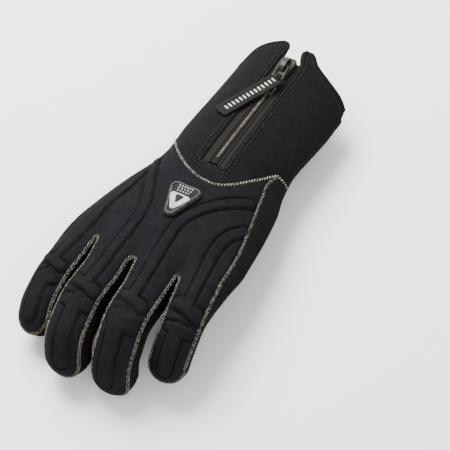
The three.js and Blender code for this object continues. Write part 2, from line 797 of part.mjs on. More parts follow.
// One bar as a low closed tube along its middle line
function barGeometry(finger, rows) {
  const line = new THREE.CatmullRomCurve3(rows.map(
    (row) => new THREE.Vector3(row.across * FINGER_LENGTH, row.along * FINGER_LENGTH, 0),
  ));
  const steps = Math.max(3, Math.round(line.getLength() / BAR_STEP));
  const section = [
    { width: -BAR_FOOT, height: -BAR_DEPTH },
    { width: -BAR_WIDTH, height: BAR_HEIGHT },
    { width: BAR_WIDTH, height: BAR_HEIGHT },
    { width: BAR_FOOT, height: -BAR_DEPTH },
  ];
  const points = [];
  const faces = [];
  for (let step = 0; step <= steps; step += 1) {
    const at = line.getPointAt(step / steps);
    const way = line.getTangentAt(step / steps);
    const isEnd = step === 0 || step === steps;
    for (const corner of section) {
      const c = at.x + way.y * corner.width / 2;
      const l = at.y - way.x * corner.width / 2;
      const { back } = fingerHeights(finger, l, c, Math.abs(c) / finger.half);
      const height = isEnd ? Math.min(corner.height, -BAR_DEPTH / 2) : corner.height;
      points.push(placeFinger(finger, l, c, back + height));
    }
  }
  const sides = section.length;
  for (let step = 0; step < steps; step += 1) {
    for (let k = 0; k < sides; k += 1) {
      const [a, b] = [step * sides + k, step * sides + (k + 1) % sides];
      faces.push([a, b, b + sides], [a, b + sides, a + sides]);
    }
  }
  const last = steps * sides;
  faces.push([2, 1, 0], [3, 2, 0], [last, last + 1, last + 2], [last, last + 2, last + 3]);
  return facesGeometry(points, faces);
}

// Joins and cuts of closed meshes
const wasm = await Module();
wasm.setup();

function solidOf(geometry) {
  const bare = geometry.index ? geometry.clone() : mergeVertices(geometry.clone());
  bare.deleteAttribute('normal');
  bare.deleteAttribute('uv');
  const merged = mergeVertices(bare, 1e-4);
  return new wasm.Manifold(new wasm.Mesh({
    numProp: 3,
    vertProperties: new Float32Array(merged.getAttribute('position').array),
    triVerts: new Uint32Array(merged.getIndex().array),
  }));
}

function geometryOf(solid) {
  const mesh = solid.getMesh();
  const geometry = new THREE.BufferGeometry();
  geometry.setAttribute('position', new THREE.Float32BufferAttribute(mesh.vertProperties, 3));
  geometry.setIndex(Array.from(mesh.triVerts));
  return geometry;
}

function backWithBars() {
  let solid = solidOf(handPanel('back'));
  for (const finger of fingers) {
    for (const bar of ['palm', 'joint', 'second', 'end']) {
      const rows = BARS.filter((row) => row.finger === finger.index && row.bar === bar);
      solid = solid.add(solidOf(barGeometry(finger, rows)));
    }
  }
  return geometryOf(solid);
}

// The place of a piece set on the back or cuff at p, q: its z points out and its y to the cuff's end
function placeOn(p, q, lift, turn) {
  const reach = 0.03 * HAND_WIDTH;
  const onBack = (atP, atQ) => bendHand(atP, atQ, handHeights(atP, atQ).back + lift);
  const origin = onBack(p, q);
  const ahead = onBack(p, q - reach).sub(origin).normalize();
  const beside = onBack(p + reach, q).sub(origin);
  const out = new THREE.Vector3().crossVectors(beside, ahead).normalize();
  const across = new THREE.Vector3().crossVectors(ahead, out).normalize();
  const basis = new THREE.Matrix4().makeBasis(across, ahead, out);
  return basis.multiply(new THREE.Matrix4().makeRotationZ(radians(turn))).setPosition(origin);
}

// The zip: two tapes, a chain of closed teeth and a slider
const CHAIN_WIDTH = 4.6;
const CHAIN_HEIGHT = 2.4;
const TAPE_THICKNESS = 1.4;
const TAPE_SINK = 0.9;
const ZIP_TOP = -0.895 * CUFF_LENGTH;
const ZIP_ROWS = 8;

// A strip between two lines of the zip, with the heights of its faces over the cuff's surface
function zipStrip({ left, right, top, bottom }) {
  const shell = new Shell(TAPE_THICKNESS);
  const lines = [];
  for (let row = 0; row <= ZIP_ROWS; row += 1) {
    const q = lerp(ZIP_BOTTOM - SEAM_GAP, ZIP_TOP, row / ZIP_ROWS);
    lines.push([left, (left + right) / 2, right].map((p) => {
      const height = handHeights(p, q).back;
      return shell.add(bendHand(p, q, height + top), bendHand(p, q, height + bottom));
    }));
  }
  for (let row = 0; row < ZIP_ROWS; row += 1) {
    shell.strip(lines[row], lines[row + 1]);
  }
  return shell.geometry();
}

const zipTape = (left, right) => zipStrip({
  left: left + SEAM_GAP,
  right: right - SEAM_GAP,
  top: -TAPE_SINK,
  bottom: -TAPE_SINK - TAPE_THICKNESS,
});

const chainEdges = [ZIP_CENTER - CHAIN_WIDTH / 2, ZIP_CENTER + CHAIN_WIDTH / 2];
const zipChain = () => zipStrip({
  left: chainEdges[0],
  right: chainEdges[1],
  top: 0,
  bottom: -CHAIN_HEIGHT,
});

// The slider: a body with a narrow nose, and a bridge over it that holds the pull
const SLIDER_LENGTH = 19;
const SLIDER_WIDTH = 11;
const SLIDER_NOSE = 8;
const SLIDER_HEIGHT = 2.8;
const SLIDER_BEVEL = 0.5;
const BRIDGE_WIDTH = 3.4;
const BRIDGE_LENGTH = 13;
const BRIDGE_HEIGHT = 4.8;
const BRIDGE_THICKNESS = 1.2;
const SLIDER_AT = -0.815 * CUFF_LENGTH;

// Half of the body's outline, from its nose to its back end, as shares of its half length and width
const SLIDER_OUTLINE = table(
  ['along', 'across'],
  [
    [-1.0, SLIDER_NOSE / SLIDER_WIDTH],
    [0.1, 1.0],
    [0.8, 1.0],
    [1.0, 0.7],
  ],
);

function sliderBody() {
  const half = (side) => SLIDER_OUTLINE.map((row) => new THREE.Vector2(
    side * row.across * SLIDER_WIDTH / 2,
    row.along * SLIDER_LENGTH / 2,
  ));
  return new THREE.ExtrudeGeometry(new THREE.Shape([...half(1), ...half(-1).reverse()]), {
    depth: SLIDER_HEIGHT - 2 * SLIDER_BEVEL,
    bevelThickness: SLIDER_BEVEL,
    bevelSize: SLIDER_BEVEL,
    bevelOffset: -SLIDER_BEVEL,
    bevelSegments: 1,
  }).translate(0, 0, SLIDER_BEVEL);
}

// The bridge is half a ring, longer than high, that stands on the body with its feet sunk in
function sliderBridge() {
  const arch = new THREE.Shape();
  const foot = -SLIDER_BEVEL;
  const reach = BRIDGE_LENGTH / 2;
  arch.moveTo(reach, foot);
  arch.lineTo(reach, 0);
  arch.absellipse(0, 0, reach, BRIDGE_HEIGHT, 0, Math.PI, false);
  arch.lineTo(-reach, foot);
  arch.lineTo(BRIDGE_THICKNESS - reach, foot);
  const [innerReach, innerHeight] = [reach - BRIDGE_THICKNESS, BRIDGE_HEIGHT - BRIDGE_THICKNESS];
  arch.absellipse(0, 0, innerReach, innerHeight, Math.PI, 0, true);
  arch.lineTo(innerReach, foot);
  const bridge = new THREE.ExtrudeGeometry(arch, {
    depth: BRIDGE_WIDTH,
    bevelEnabled: false,
    curveSegments: 8,
  });
  bridge.applyMatrix4(new THREE.Matrix4().makeBasis(
    new THREE.Vector3(0, 1, 0),
    new THREE.Vector3(0, 0, 1),
    new THREE.Vector3(1, 0, 0),
  ));
  return bridge.translate(-BRIDGE_WIDTH / 2, 0, SLIDER_HEIGHT);
}

const sliderGeometry = () => geometryOf(solidOf(sliderBody()).add(solidOf(sliderBridge())));

// The pull: a metal link through the bridge and a moulded rubber tab looped round the link's end
const LINK_LENGTH = 15;
const LINK_WIDTH = 9;
const LINK_HOLE = 5.8;
const LINK_BAR = 1.4;
const LINK_END = 3;
const LINK_CORNER = 1;
const LINK_THICKNESS = 1.3;
const LINK_START = -1;
const LINK_LIFT = SLIDER_HEIGHT + 0.6;
const LINK_TURN = 5;
const TAB_WIDTH = 10.5;
const TAB_THICKNESS = 2.2;
const TAB_LOOP = 1.1;

const sliderPlace = placeOn(ZIP_CENTER, SLIDER_AT, SEAM_GAP, 0);
const linkPlace = placeOn(ZIP_CENTER, SLIDER_AT, SEAM_GAP, LINK_TURN);

const linkLow = LINK_START - LINK_LENGTH;

function linkGeometry() {
  const half = (side) => [
    new THREE.Vector2(side * (LINK_WIDTH / 2 - LINK_CORNER), linkLow),
    new THREE.Vector2(side * LINK_WIDTH / 2, linkLow + LINK_CORNER),
    new THREE.Vector2(side * (LINK_WIDTH / 2 - LINK_CORNER), LINK_START),
  ];
  const frame = new THREE.Shape([...half(1), ...half(-1).reverse()]);
  frame.holes.push(new THREE.Path([
    new THREE.Vector2(-LINK_HOLE / 2, LINK_START - LINK_BAR),
    new THREE.Vector2(LINK_HOLE / 2, LINK_START - LINK_BAR),
    new THREE.Vector2(LINK_HOLE / 2, linkLow + LINK_END),
    new THREE.Vector2(-LINK_HOLE / 2, linkLow + LINK_END),
  ]));
  const link = new THREE.ExtrudeGeometry(frame, { depth: LINK_THICKNESS, bevelEnabled: false });
  return link.translate(0, 0, LINK_LIFT);
}

// The tab starts just past the link's end. Its middle line on the cuff is in shares of its length,
// with the height of its underside over the cloth.
const TAB_LENGTH = 41.8;
const TAB_START = SLIDER_AT - linkLow + 0.5;
const TAB_ROUTE = table(
  ['across', 'along', 'lift'],
  [
    [0.032, 0.000, 3.6],
    [-0.010, 0.102, 3.0],
    [-0.100, 0.303, 1.8],
    [-0.232, 0.584, 1.0],
    [-0.405, 1.000, 1.0],
  ],
);
const TAB_STEPS = 10;

function tabGeometry() {
  const line = new THREE.CatmullRomCurve3(TAB_ROUTE.map((row) => new THREE.Vector3(
    ZIP_CENTER + row.across * TAB_LENGTH,
    TAB_START + row.along * TAB_LENGTH,
    row.lift,
  )));
  const shell = new Shell(0);
  const rows = [];
  for (let step = 0; step <= TAB_STEPS; step += 1) {
    const at = line.getPointAt(step / TAB_STEPS);
    const way = line.getTangentAt(step / TAB_STEPS).setZ(0).normalize();
    rows.push([-1, 1].map((side) => {
      const p = at.x - side * way.y * TAB_WIDTH / 2;
      const q = at.y + side * way.x * TAB_WIDTH / 2;
      const height = handHeights(at.x, at.y).back + at.z;
      return shell.add(bendHand(p, q, height + TAB_THICKNESS), bendHand(p, q, height));
    }));
  }
  for (let step = 0; step < TAB_STEPS; step += 1) {
    shell.strip(rows[step], rows[step + 1]);
  }
  const slotLength = LINK_END + 2 * SEAM_GAP;
  const slotHeight = LINK_THICKNESS + 2 * SEAM_GAP;
  const slot = new THREE.BoxGeometry(2 * LINK_WIDTH, slotLength, slotHeight);
  const loop = new THREE.BoxGeometry(
    LINK_HOLE - 2 * SEAM_GAP,
    slotLength + 2 * TAB_LOOP,
    slotHeight + 2 * TAB_LOOP,
  );
  for (const box of [loop, slot]) {
    box.translate(0, linkLow + LINK_END / 2, LINK_LIFT + LINK_THICKNESS / 2);
    box.applyMatrix4(linkPlace);
  }
  return geometryOf(solidOf(shell.geometry()).add(solidOf(loop)).subtract(solidOf(slot)));
}

// The badge: a rounded triangle with its point toward the fingers, a raised rim and a ribbed inset
const BADGE_PLACE = { p: -0.025 * HAND_WIDTH, q: 0.49 * PALM_LENGTH, turn: -2 };
const BADGE_WIDTH = 22;
const BADGE_LENGTH = 27;
const BADGE_CORNER = 4.4;
const BADGE_HEAD = 0.42;
const BADGE_THICKNESS = 2.4;
const BADGE_RIM = 2;
const BADGE_RECESS = 0.9;
const BADGE_BEVEL = 0.5;
const BADGE_INSET_DROP = 0.1;
const BADGE_SEGMENTS = 5;

function badgeShape(inset) {
  const radius = BADGE_CORNER - inset;
  const half = BADGE_WIDTH / 2 - BADGE_CORNER;
  const top = BADGE_HEAD * BADGE_LENGTH - BADGE_CORNER;
  const corners = [[-half, top], [0, top - BADGE_LENGTH + 2 * BADGE_CORNER], [half, top]];
  const shape = new THREE.Shape();
  corners.forEach(([x, y], k) => {
    const before = corners[(k + 2) % 3];
    const after = corners[(k + 1) % 3];
    const into = Math.atan2(y - before[1], x - before[0]) - Math.PI / 2;
    const out = Math.atan2(after[1] - y, after[0] - x) - Math.PI / 2;
    shape.absarc(x, y, radius, into, out, false);
  });
  return shape;
}

function badgeSolid(inset, low, high, bevel) {
  const geometry = new THREE.ExtrudeGeometry(badgeShape(inset), {
    depth: high - low - 2 * bevel,
    bevelEnabled: bevel > 0,
    bevelThickness: bevel,
    bevelSize: bevel,
    bevelOffset: -bevel,
    bevelSegments: 1,
    curveSegments: BADGE_SEGMENTS,
  });
  return solidOf(geometry.translate(0, 0, low + bevel));
}

const badgeBase = () => geometryOf(
  badgeSolid(0, 0, BADGE_THICKNESS, BADGE_BEVEL)
    .subtract(badgeSolid(BADGE_RIM, BADGE_THICKNESS - BADGE_RECESS, BADGE_THICKNESS + 1, 0)),
);

const badgeInset = () => geometryOf(badgeSolid(
  BADGE_RIM + SEAM_GAP,
  BADGE_THICKNESS - BADGE_RECESS + SEAM_GAP,
  BADGE_THICKNESS - BADGE_INSET_DROP,
  0,
));

// The thumb: a pouch of two panels folded under the palm. Its own frame has a along it from its root
// and b across it toward the index finger. Its mouth joins the bay in the palm's edge.
const THUMB_LENGTH = 0.97 * FINGER_LENGTH;
const THUMB_ROOT = { p: -0.40 * HAND_WIDTH, q: 0.31 * PALM_LENGTH };
const THUMB_TURN = radians(34);
const THUMB_HALF = 0.245 * FINGER_LENGTH;
const THUMB_TIP = 0.185 * FINGER_LENGTH;
const THUMB_SEAM = 0.58;
const THUMB_POWER = 3.2;
const THUMB_WIDENING = 0.4;
const THUMB_COLUMNS = 6;
const THUMB_SHARES = [0, 0.035, 0.10, 0.22, 0.37, 0.52, 0.68, 0.84, 1];
const THUMB_TIP_ROWS = 4;
const MOUTH_START = 0.115 * PALM_LENGTH;
const MOUTH_END = 0.53 * PALM_LENGTH;
const MOUTH_DROP = 2 * HAND_WALL;
const MOUTH_CORNER = 5;

function thumbToFlat(a, b) {
  return {
    p: THUMB_ROOT.p + a * Math.cos(THUMB_TURN) - b * Math.sin(THUMB_TURN),
    q: THUMB_ROOT.q + a * Math.sin(THUMB_TURN) + b * Math.cos(THUMB_TURN),
  };
}

function flatToThumb(p, q) {
  const [dp, dq] = [p - THUMB_ROOT.p, q - THUMB_ROOT.q];
  return {
    a: dp * Math.cos(THUMB_TURN) + dq * Math.sin(THUMB_TURN),
    b: dq * Math.cos(THUMB_TURN) - dp * Math.sin(THUMB_TURN),
  };
}

// Where column v, from -1 to 1, starts at the mouth: the lower panel at the side strip's edge, the
// upper one at the bay
function mouthPlace(panel, v) {
  const q = lerp(MOUTH_START, MOUTH_END, (v + 1) / 2);
  const side = sectionAt(q).sides[0] + SEAM_TRIM;
  const place = flatToThumb(panel === 'upper' ? side + bayAt(q) : side, q);
  const corner = panel === 'upper' ? MOUTH_CORNER * v ** 4 : 0;
  return { a: place.a + corner, b: place.b };
}

function thumbPlace(panel, row, v, inset) {
  const last = THUMB_SHARES.length - 1;
  const end = THUMB_LENGTH - THUMB_TIP;
  if (row > last) {
    const angle = ((row - last) / THUMB_TIP_ROWS) * Math.PI / 2;
    return {
      a: end + (THUMB_TIP - inset) * Math.sin(angle),
      b: v * (THUMB_TIP - inset) * Math.cos(angle),
      rim: Math.hypot(v * Math.cos(angle), Math.sin(angle)),
      left: THUMB_LENGTH,
    };
  }
  const share = THUMB_SHARES[row];
  const start = mouthPlace(panel, v);
  const half = lerp(THUMB_HALF, THUMB_TIP, smooth(share));
  const b = lerp(start.b, v * half, smooth(share / THUMB_WIDENING));
  return {
    a: lerp(start.a, end, share),
    b: b - v * inset,
    rim: Math.abs(v),
    left: share * (end - start.a),
  };
}

function thumbPanel(panel) {
  const shell = new Shell(HAND_WALL);
  const rows = [];
  const count = THUMB_SHARES.length - 1 + THUMB_TIP_ROWS;
  for (let row = 0; row <= count; row += 1) {
    const columns = row === count ? 0 : THUMB_COLUMNS;
    const points = [];
    for (let column = 0; column <= columns; column += 1) {
      points.push(addThumbPoint(shell, panel, row, columns ? 2 * column / columns - 1 : 0));
    }
    rows.push(points);
  }
  for (let row = 0; row < count; row += 1) {
    shell.strip(rows[row], rows[row + 1]);
  }
  return shell.geometry();
}

function addThumbPoint(shell, panel, row, v) {
  const outer = thumbPlace(panel, row, v, 0);
  const inner = thumbPlace(panel, row, v, HAND_WALL);
  const at = thumbToFlat(outer.a, outer.b);
  const palm = handHeights(at.p, at.q).palm;
  const gap = lerp(SEAM_TRIM, LYING_GAP, Math.min(row, 1));
  const top = -palm - gap;
  const depth = bendHand(at.p, at.q, top).z + FLOOR_PRESS;
  const dome = 1 - outer.rim ** THUMB_POWER;
  const seam = top - THUMB_SEAM * depth;
  const cornerWall = HAND_WALL * (1 - outer.rim ** (2 * THUMB_POWER));
  const innerAt = thumbToFlat(inner.a, inner.b);
  if (panel === 'upper') {
    const height = lerp(seam + SEAM_TRIM, top, dome);
    return shell.add(
      bendHand(at.p, at.q, height),
      bendHand(innerAt.p, innerAt.q, height - cornerWall),
    );
  }
  const drop = Math.sin(Math.min(outer.left / MOUTH_DROP, 1) * Math.PI / 2);
  const height = lerp(-palm, lerp(seam - SEAM_TRIM, top - depth, dome), drop);
  const wall = lerp(HAND_WALL, cornerWall, drop);
  const ahead = thumbToFlat(inner.a + HAND_WALL * (1 - drop), lerp(outer.b, inner.b, drop));
  return shell.add(bendHand(at.p, at.q, height), bendHand(ahead.p, ahead.q, height + wall));
}

// Colours and finishes
const neoprene = () => new THREE.MeshStandardMaterial({ color: 0x26262a, roughness: 0.9, metalness: 0 });
const tapeCloth = () => new THREE.MeshStandardMaterial({ color: 0x1b1918, roughness: 0.85, metalness: 0 });
const teeth = () => new THREE.MeshStandardMaterial({ color: 0x8f8a80, roughness: 0.45, metalness: 0.2 });
const gunmetal = () => new THREE.MeshStandardMaterial({ color: 0x6d6f66, roughness: 0.35, metalness: 0.9 });
const rubber = () => new THREE.MeshStandardMaterial({ color: 0x2c2e2b, roughness: 0.6, metalness: 0 });
const pewter = () => new THREE.MeshStandardMaterial({ color: 0x9b9b98, roughness: 0.4, metalness: 0.3 });

const glove = new THREE.Group();
function addPiece(name, geometry, material, place) {
  const mesh = new THREE.Mesh(geometry, material);
  mesh.name = name;
  if (place) {
    mesh.applyMatrix4(place);
  }
  glove.add(mesh);
}

addPiece('back_panel', backWithBars(), neoprene());
addPiece('palm_panel', handPanel('palm'), neoprene());
for (const finger of fingers) {
  addPiece(`${finger.name}_side_strip`, sideStrip(finger), neoprene());
}
addPiece('thumb_back', thumbPanel('lower'), neoprene());
addPiece('thumb_front', thumbPanel('upper'), neoprene());
addPiece('cuff', cuff(), neoprene());
addPiece('zip_tape_thumb_side', zipTape(zipEdges[0], chainEdges[0]), tapeCloth());
addPiece('zip_tape_far_side', zipTape(chainEdges[1], zipEdges[1]), tapeCloth());
addPiece('zip_chain', zipChain(), teeth());
addPiece('zip_slider', sliderGeometry(), gunmetal(), sliderPlace);
addPiece('zip_pull_link', linkGeometry(), gunmetal(), linkPlace);
addPiece('zip_pull_tab', tabGeometry(), rubber());
const badgePlace = placeOn(BADGE_PLACE.p, BADGE_PLACE.q, SEAM_GAP, BADGE_PLACE.turn);
addPiece('badge_base', badgeBase(), pewter(), badgePlace);
addPiece('badge_inset', badgeInset(), pewter(), badgePlace);

// The glove stands on the floor with its middle over the origin
const extent = new THREE.Box3().setFromObject(glove);
const center = extent.getCenter(new THREE.Vector3());
glove.position.set(-center.x, -center.y, -extent.min.z);

export default glove;
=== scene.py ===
from types import SimpleNamespace

import bmesh
import bpy
import numpy as np
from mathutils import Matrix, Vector


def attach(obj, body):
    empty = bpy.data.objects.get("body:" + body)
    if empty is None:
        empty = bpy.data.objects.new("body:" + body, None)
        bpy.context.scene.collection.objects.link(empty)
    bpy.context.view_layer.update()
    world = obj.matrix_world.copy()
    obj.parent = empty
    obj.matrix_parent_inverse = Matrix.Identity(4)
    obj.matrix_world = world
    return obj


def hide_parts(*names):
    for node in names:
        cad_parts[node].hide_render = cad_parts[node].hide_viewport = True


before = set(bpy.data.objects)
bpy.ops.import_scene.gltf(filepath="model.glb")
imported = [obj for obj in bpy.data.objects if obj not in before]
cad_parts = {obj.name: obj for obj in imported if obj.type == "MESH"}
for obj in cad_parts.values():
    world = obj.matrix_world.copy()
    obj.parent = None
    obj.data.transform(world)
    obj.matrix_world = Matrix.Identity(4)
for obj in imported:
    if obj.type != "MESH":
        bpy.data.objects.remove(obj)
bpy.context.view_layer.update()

# The back panel: the back of the hand and of four fingers, cut in one sheet of 4 mm neoprene foam
# with nylon jersey on both faces. The bones of a hand are pressed into it as a raised relief. Its
# edges are butted against the side strips and the cuff and sewn over.
#
# Sizes are in millimetres on the flat glove: p across the hand toward the little finger, q from the
# wrist toward the fingertips, h out of the back. The flat glove is then bent as it lies, and ORIGIN
# moves it so that the middle of the solids' box is over the frame's origin.
ORIGIN = np.array([7.101, 26.995, 0.0])
HAND_WIDTH, PALM_LENGTH, FINGER_LENGTH, CUFF_LENGTH = 110.0, 96.0, 88.0, 112.0
HAND_DEPTH, FINGER_DEPTH = 32.0, 25.0
HAND_WALL = 4.0
TRIM = 0.2
WRIST_HEIGHT, HAND_RISE = 31.0, np.radians(4.2)
ARCH_RADIUS, ARCH_CENTER = 190.0, 0.155 * HAND_WIDTH
FINGER_BLEND = 0.25 * FINGER_LENGTH
MIDDLE_JOINT, END_JOINT, JOINT_SPREAD = 0.45, 0.73, 0.22
WEB_RADIUS, WEB_VALLEY = 3.4, 4.0
SECTION_POWER = 2.6
SEAM_APEX_ACROSS = 0.055 * HAND_WIDTH
SEAM_APEX, SEAM_SIDE = 0.275 * PALM_LENGTH, -0.085 * PALM_LENGTH
SEAM_ROUNDING = 1.5

# Sections across the hand, as shares: the place along the palm, or along the cuff where it is below 0,
# then thumb side and far side of the width, back, palm and edge of the depth, and the sides' bulges
SECTIONS = np.array([
    [-1.10, -0.335, 0.430, 0.50, 0.80, 0.12, 0.010, 0.012],
    [-0.60, -0.350, 0.425, 0.54, 0.79, 0.16, 0.014, 0.016],
    [-0.20, -0.355, 0.370, 0.60, 0.64, 0.24, 0.020, 0.030],
    [0.00, -0.340, 0.312, 0.62, 0.60, 0.28, 0.020, 0.105],
    [0.15, -0.370, 0.330, 0.60, 0.50, 0.28, 0.020, 0.118],
    [0.37, -0.462, 0.362, 0.58, 0.40, 0.27, 0.020, 0.106],
    [0.60, -0.540, 0.392, 0.55, 0.38, 0.26, 0.018, 0.085],
    [0.80, -0.590, 0.405, 0.50, 0.38, 0.26, 0.014, 0.074],
    [1.05, -0.600, 0.420, 0.46, 0.40, 0.25, 0.012, 0.055],
    [1.40, -0.590, 0.450, 0.44, 0.40, 0.25, 0.012, 0.020],
])
# The thumb side's root, the three webs and the far side's root, across and along
WEBS = np.array([
    [-0.600, 0.90],
    [-0.362, 0.92],
    [-0.063, 1.005],
    [0.190, 0.99],
    [0.405, 0.68],
]) * [HAND_WIDTH, PALM_LENGTH]


def lerp(a, b, t):
    return a + (b - a) * t


def smooth(t):
    t = np.clip(t, 0, 1)
    return t * t * (3 - 2 * t)


def swell(x, place, width):
    """1 where x is at the place, and smoothly less on either side of it"""
    return np.exp(-(((x - place) / width) ** 2))


def curve(rows, column, at):
    """A smooth curve through one column of a table, over its first column"""
    x, y = rows[:, 0], rows[:, column]
    slope = np.empty(len(x))
    slope[1:-1] = (y[2:] - y[:-2]) / (x[2:] - x[:-2])
    slope[0], slope[-1] = (y[1] - y[0]) / (x[1] - x[0]), (y[-1] - y[-2]) / (x[-1] - x[-2])
    k = np.searchsorted(x[1:-1], at)
    span = x[k + 1] - x[k]
    t = np.clip((at - x[k]) / span, 0, 1)
    return (y[k] * (1 + 2 * t) * (1 - t) ** 2 + y[k + 1] * t * t * (3 - 2 * t)
            + span * t * (1 - t) * (slope[k] * (1 - t) - slope[k + 1] * t))


def section_at(q):
    """Sides, bulges and heights of the section across the hand or the cuff at q"""
    q = np.asarray(q, float)
    at = np.where(q < 0, q / CUFF_LENGTH, q / PALM_LENGTH)
    width = [HAND_WIDTH * curve(SECTIONS, column, at) for column in (1, 2, 6, 7)]
    depth = [HAND_DEPTH * curve(SECTIONS, column, at) for column in (3, 4, 5)]
    return SimpleNamespace(near=width[0], far=width[1], near_bulge=width[2], far_bulge=width[3],
                           back=depth[0], palm=depth[1], edge=depth[2])


def hand_heights(p, q):
    """Heights of back and palm over the hand's middle sheet"""
    section = section_at(q)
    middle, half = (section.near + section.far) / 2, (section.far - section.near) / 2
    dome = 1 - np.minimum(np.abs((p - middle) / half), 1) ** SECTION_POWER
    depth = sum(
        swell(p, web[0], 1.8 * WEB_RADIUS) * smooth((q - web[1]) / (0.25 * PALM_LENGTH) + 1)
        for web in WEBS[1:-1])
    valley = WEB_VALLEY * np.minimum(depth, 1) * np.minimum(2 * dome, 1)
    return (lerp(section.edge, section.back, dome) - valley,
            lerp(section.edge, section.palm, dome) - valley / 2)


def bend_hand(p, q, h):
    """The hand's middle sheet: an arch across, rising toward the knuckles"""
    angle = (p - ARCH_CENTER) / ARCH_RADIUS
    up = (ARCH_RADIUS + h) * np.cos(angle) - ARCH_RADIUS
    x = ARCH_CENTER + (ARCH_RADIUS + h) * np.sin(angle)
    y = -q * np.cos(HAND_RISE) + up * np.sin(HAND_RISE)
    z = WRIST_HEIGHT + q * np.sin(HAND_RISE) + up * np.cos(HAND_RISE)
    return np.stack(np.broadcast_arrays(x, y, z), -1)


def unit(v):
    return v / np.linalg.norm(v, axis=-1, keepdims=True)


def finger_angle(f, l):
    """How far a finger has bent down at l along it"""
    spread = JOINT_SPREAD * f.length
    bends = [(f.knuckle, 0, FINGER_BLEND),
             (f.middle, MIDDLE_JOINT * f.length - spread / 2, spread),
             (f.end, END_JOINT * f.length - spread / 2, spread)]
    return sum(np.radians(bend) * smooth((l - start) / reach) for bend, start, reach in bends)


def make_finger(index, name, length, width, tip, turn, knuckle, middle, end):
    """A finger's flat frame, its directions where it leaves the hand, and the path that it bends along"""
    start, stop = WEBS[index], WEBS[index + 1]
    f = SimpleNamespace(
        index=index, name=name, root=(start + stop) / 2, length=length * FINGER_LENGTH,
        half=width * FINGER_LENGTH / 2, tip_half=tip * FINGER_LENGTH / 2, turn=np.radians(turn),
        knuckle=knuckle, middle=middle, end=end)
    f.cos, f.sin = np.cos(f.turn), np.sin(f.turn)
    f.bases = [to_finger(f, *start), to_finger(f, *stop)]
    p, q = f.root
    f.origin = bend_hand(p, q, 0)
    forward = unit(bend_hand(p, q + 1, 0) - f.origin)
    across = bend_hand(p + 0.1, q, 0) - f.origin
    across = unit(across - forward * (across @ forward))
    f.up = unit(np.cross(forward, across))
    f.forward = forward * f.cos + across * f.sin
    f.across = across * f.cos - forward * f.sin
    step = 0.5
    l = np.arange(0, f.length + 1.5, step)
    angle = finger_angle(f, l[:-1] + step / 2)
    f.l = np.concatenate([[-200], l])
    f.along = np.concatenate([[-200, 0], np.cumsum(step * np.cos(angle))])
    f.rise = np.concatenate([[0, 0], np.cumsum(-step * np.sin(angle))])
    return f


def to_flat(f, l, c):
    """From l along and c across a finger to p, q"""
    return f.root[0] + l * f.sin + c * f.cos, f.root[1] + l * f.cos - c * f.sin


def to_finger(f, p, q):
    across, along = p - f.root[0], q - f.root[1]
    return along * f.cos + across * f.sin, across * f.cos - along * f.sin


# length, root width and tip width as shares of the longest finger, turn and three bends in degrees
FINGERS = [
    make_finger(0, "index", 0.80, 0.290, 0.270, -1.6, 0.6, 14, 26),
    make_finger(1, "middle", 1.00, 0.302, 0.290, 0.2, -3.7, 27, 46),
    make_finger(2, "ring", 1.00, 0.298, 0.280, 3.2, -4.7, 49, 41),
    make_finger(3, "little", 0.84, 0.272, 0.258, 7.7, 0, 32, 28),
]


def leaving(f, l, c):
    """0 on the hand, and 1 from where a finger goes its own way"""
    share = np.clip((c / f.half + 1) / 2, 0, 1)
    return smooth((l - lerp(f.bases[0][0], f.bases[1][0], share)) / FINGER_BLEND)


def place_finger(f, l, c, h):
    """A place on a finger: bent with the hand at its root, and along the finger's own path past it"""
    p, q = to_flat(f, l, c)
    angle = finger_angle(f, l)
    along = np.interp(l, f.l, f.along) + h * np.sin(angle)
    up = np.interp(l, f.l, f.rise) + h * np.cos(angle)
    bent = f.origin + along[..., None] * f.forward + c[..., None] * f.across + up[..., None] * f.up
    return lerp(bend_hand(p, q, h), bent, leaving(f, l, c)[..., None])


FINGER_EDGE, FINGER_BACK, FINGER_PALM, FINGER_TAPER = 0.31, 0.54, 0.50, 0.12


def finger_heights(f, l, c, rim):
    """Heights of back and palm over a finger's middle sheet, rim 0 on its middle line and 1 at its edge"""
    hand_back, hand_palm = hand_heights(*to_flat(f, l, c))
    depth = FINGER_DEPTH * (1 - FINGER_TAPER * np.clip(l / f.length, 0, 1))
    dome = 1 - np.minimum(rim, 1) ** SECTION_POWER
    share = leaving(f, l, c)
    return (lerp(hand_back, depth * lerp(FINGER_EDGE, FINGER_BACK, dome), share),
            lerp(hand_palm, depth * lerp(FINGER_EDGE, FINGER_PALM, dome), share))


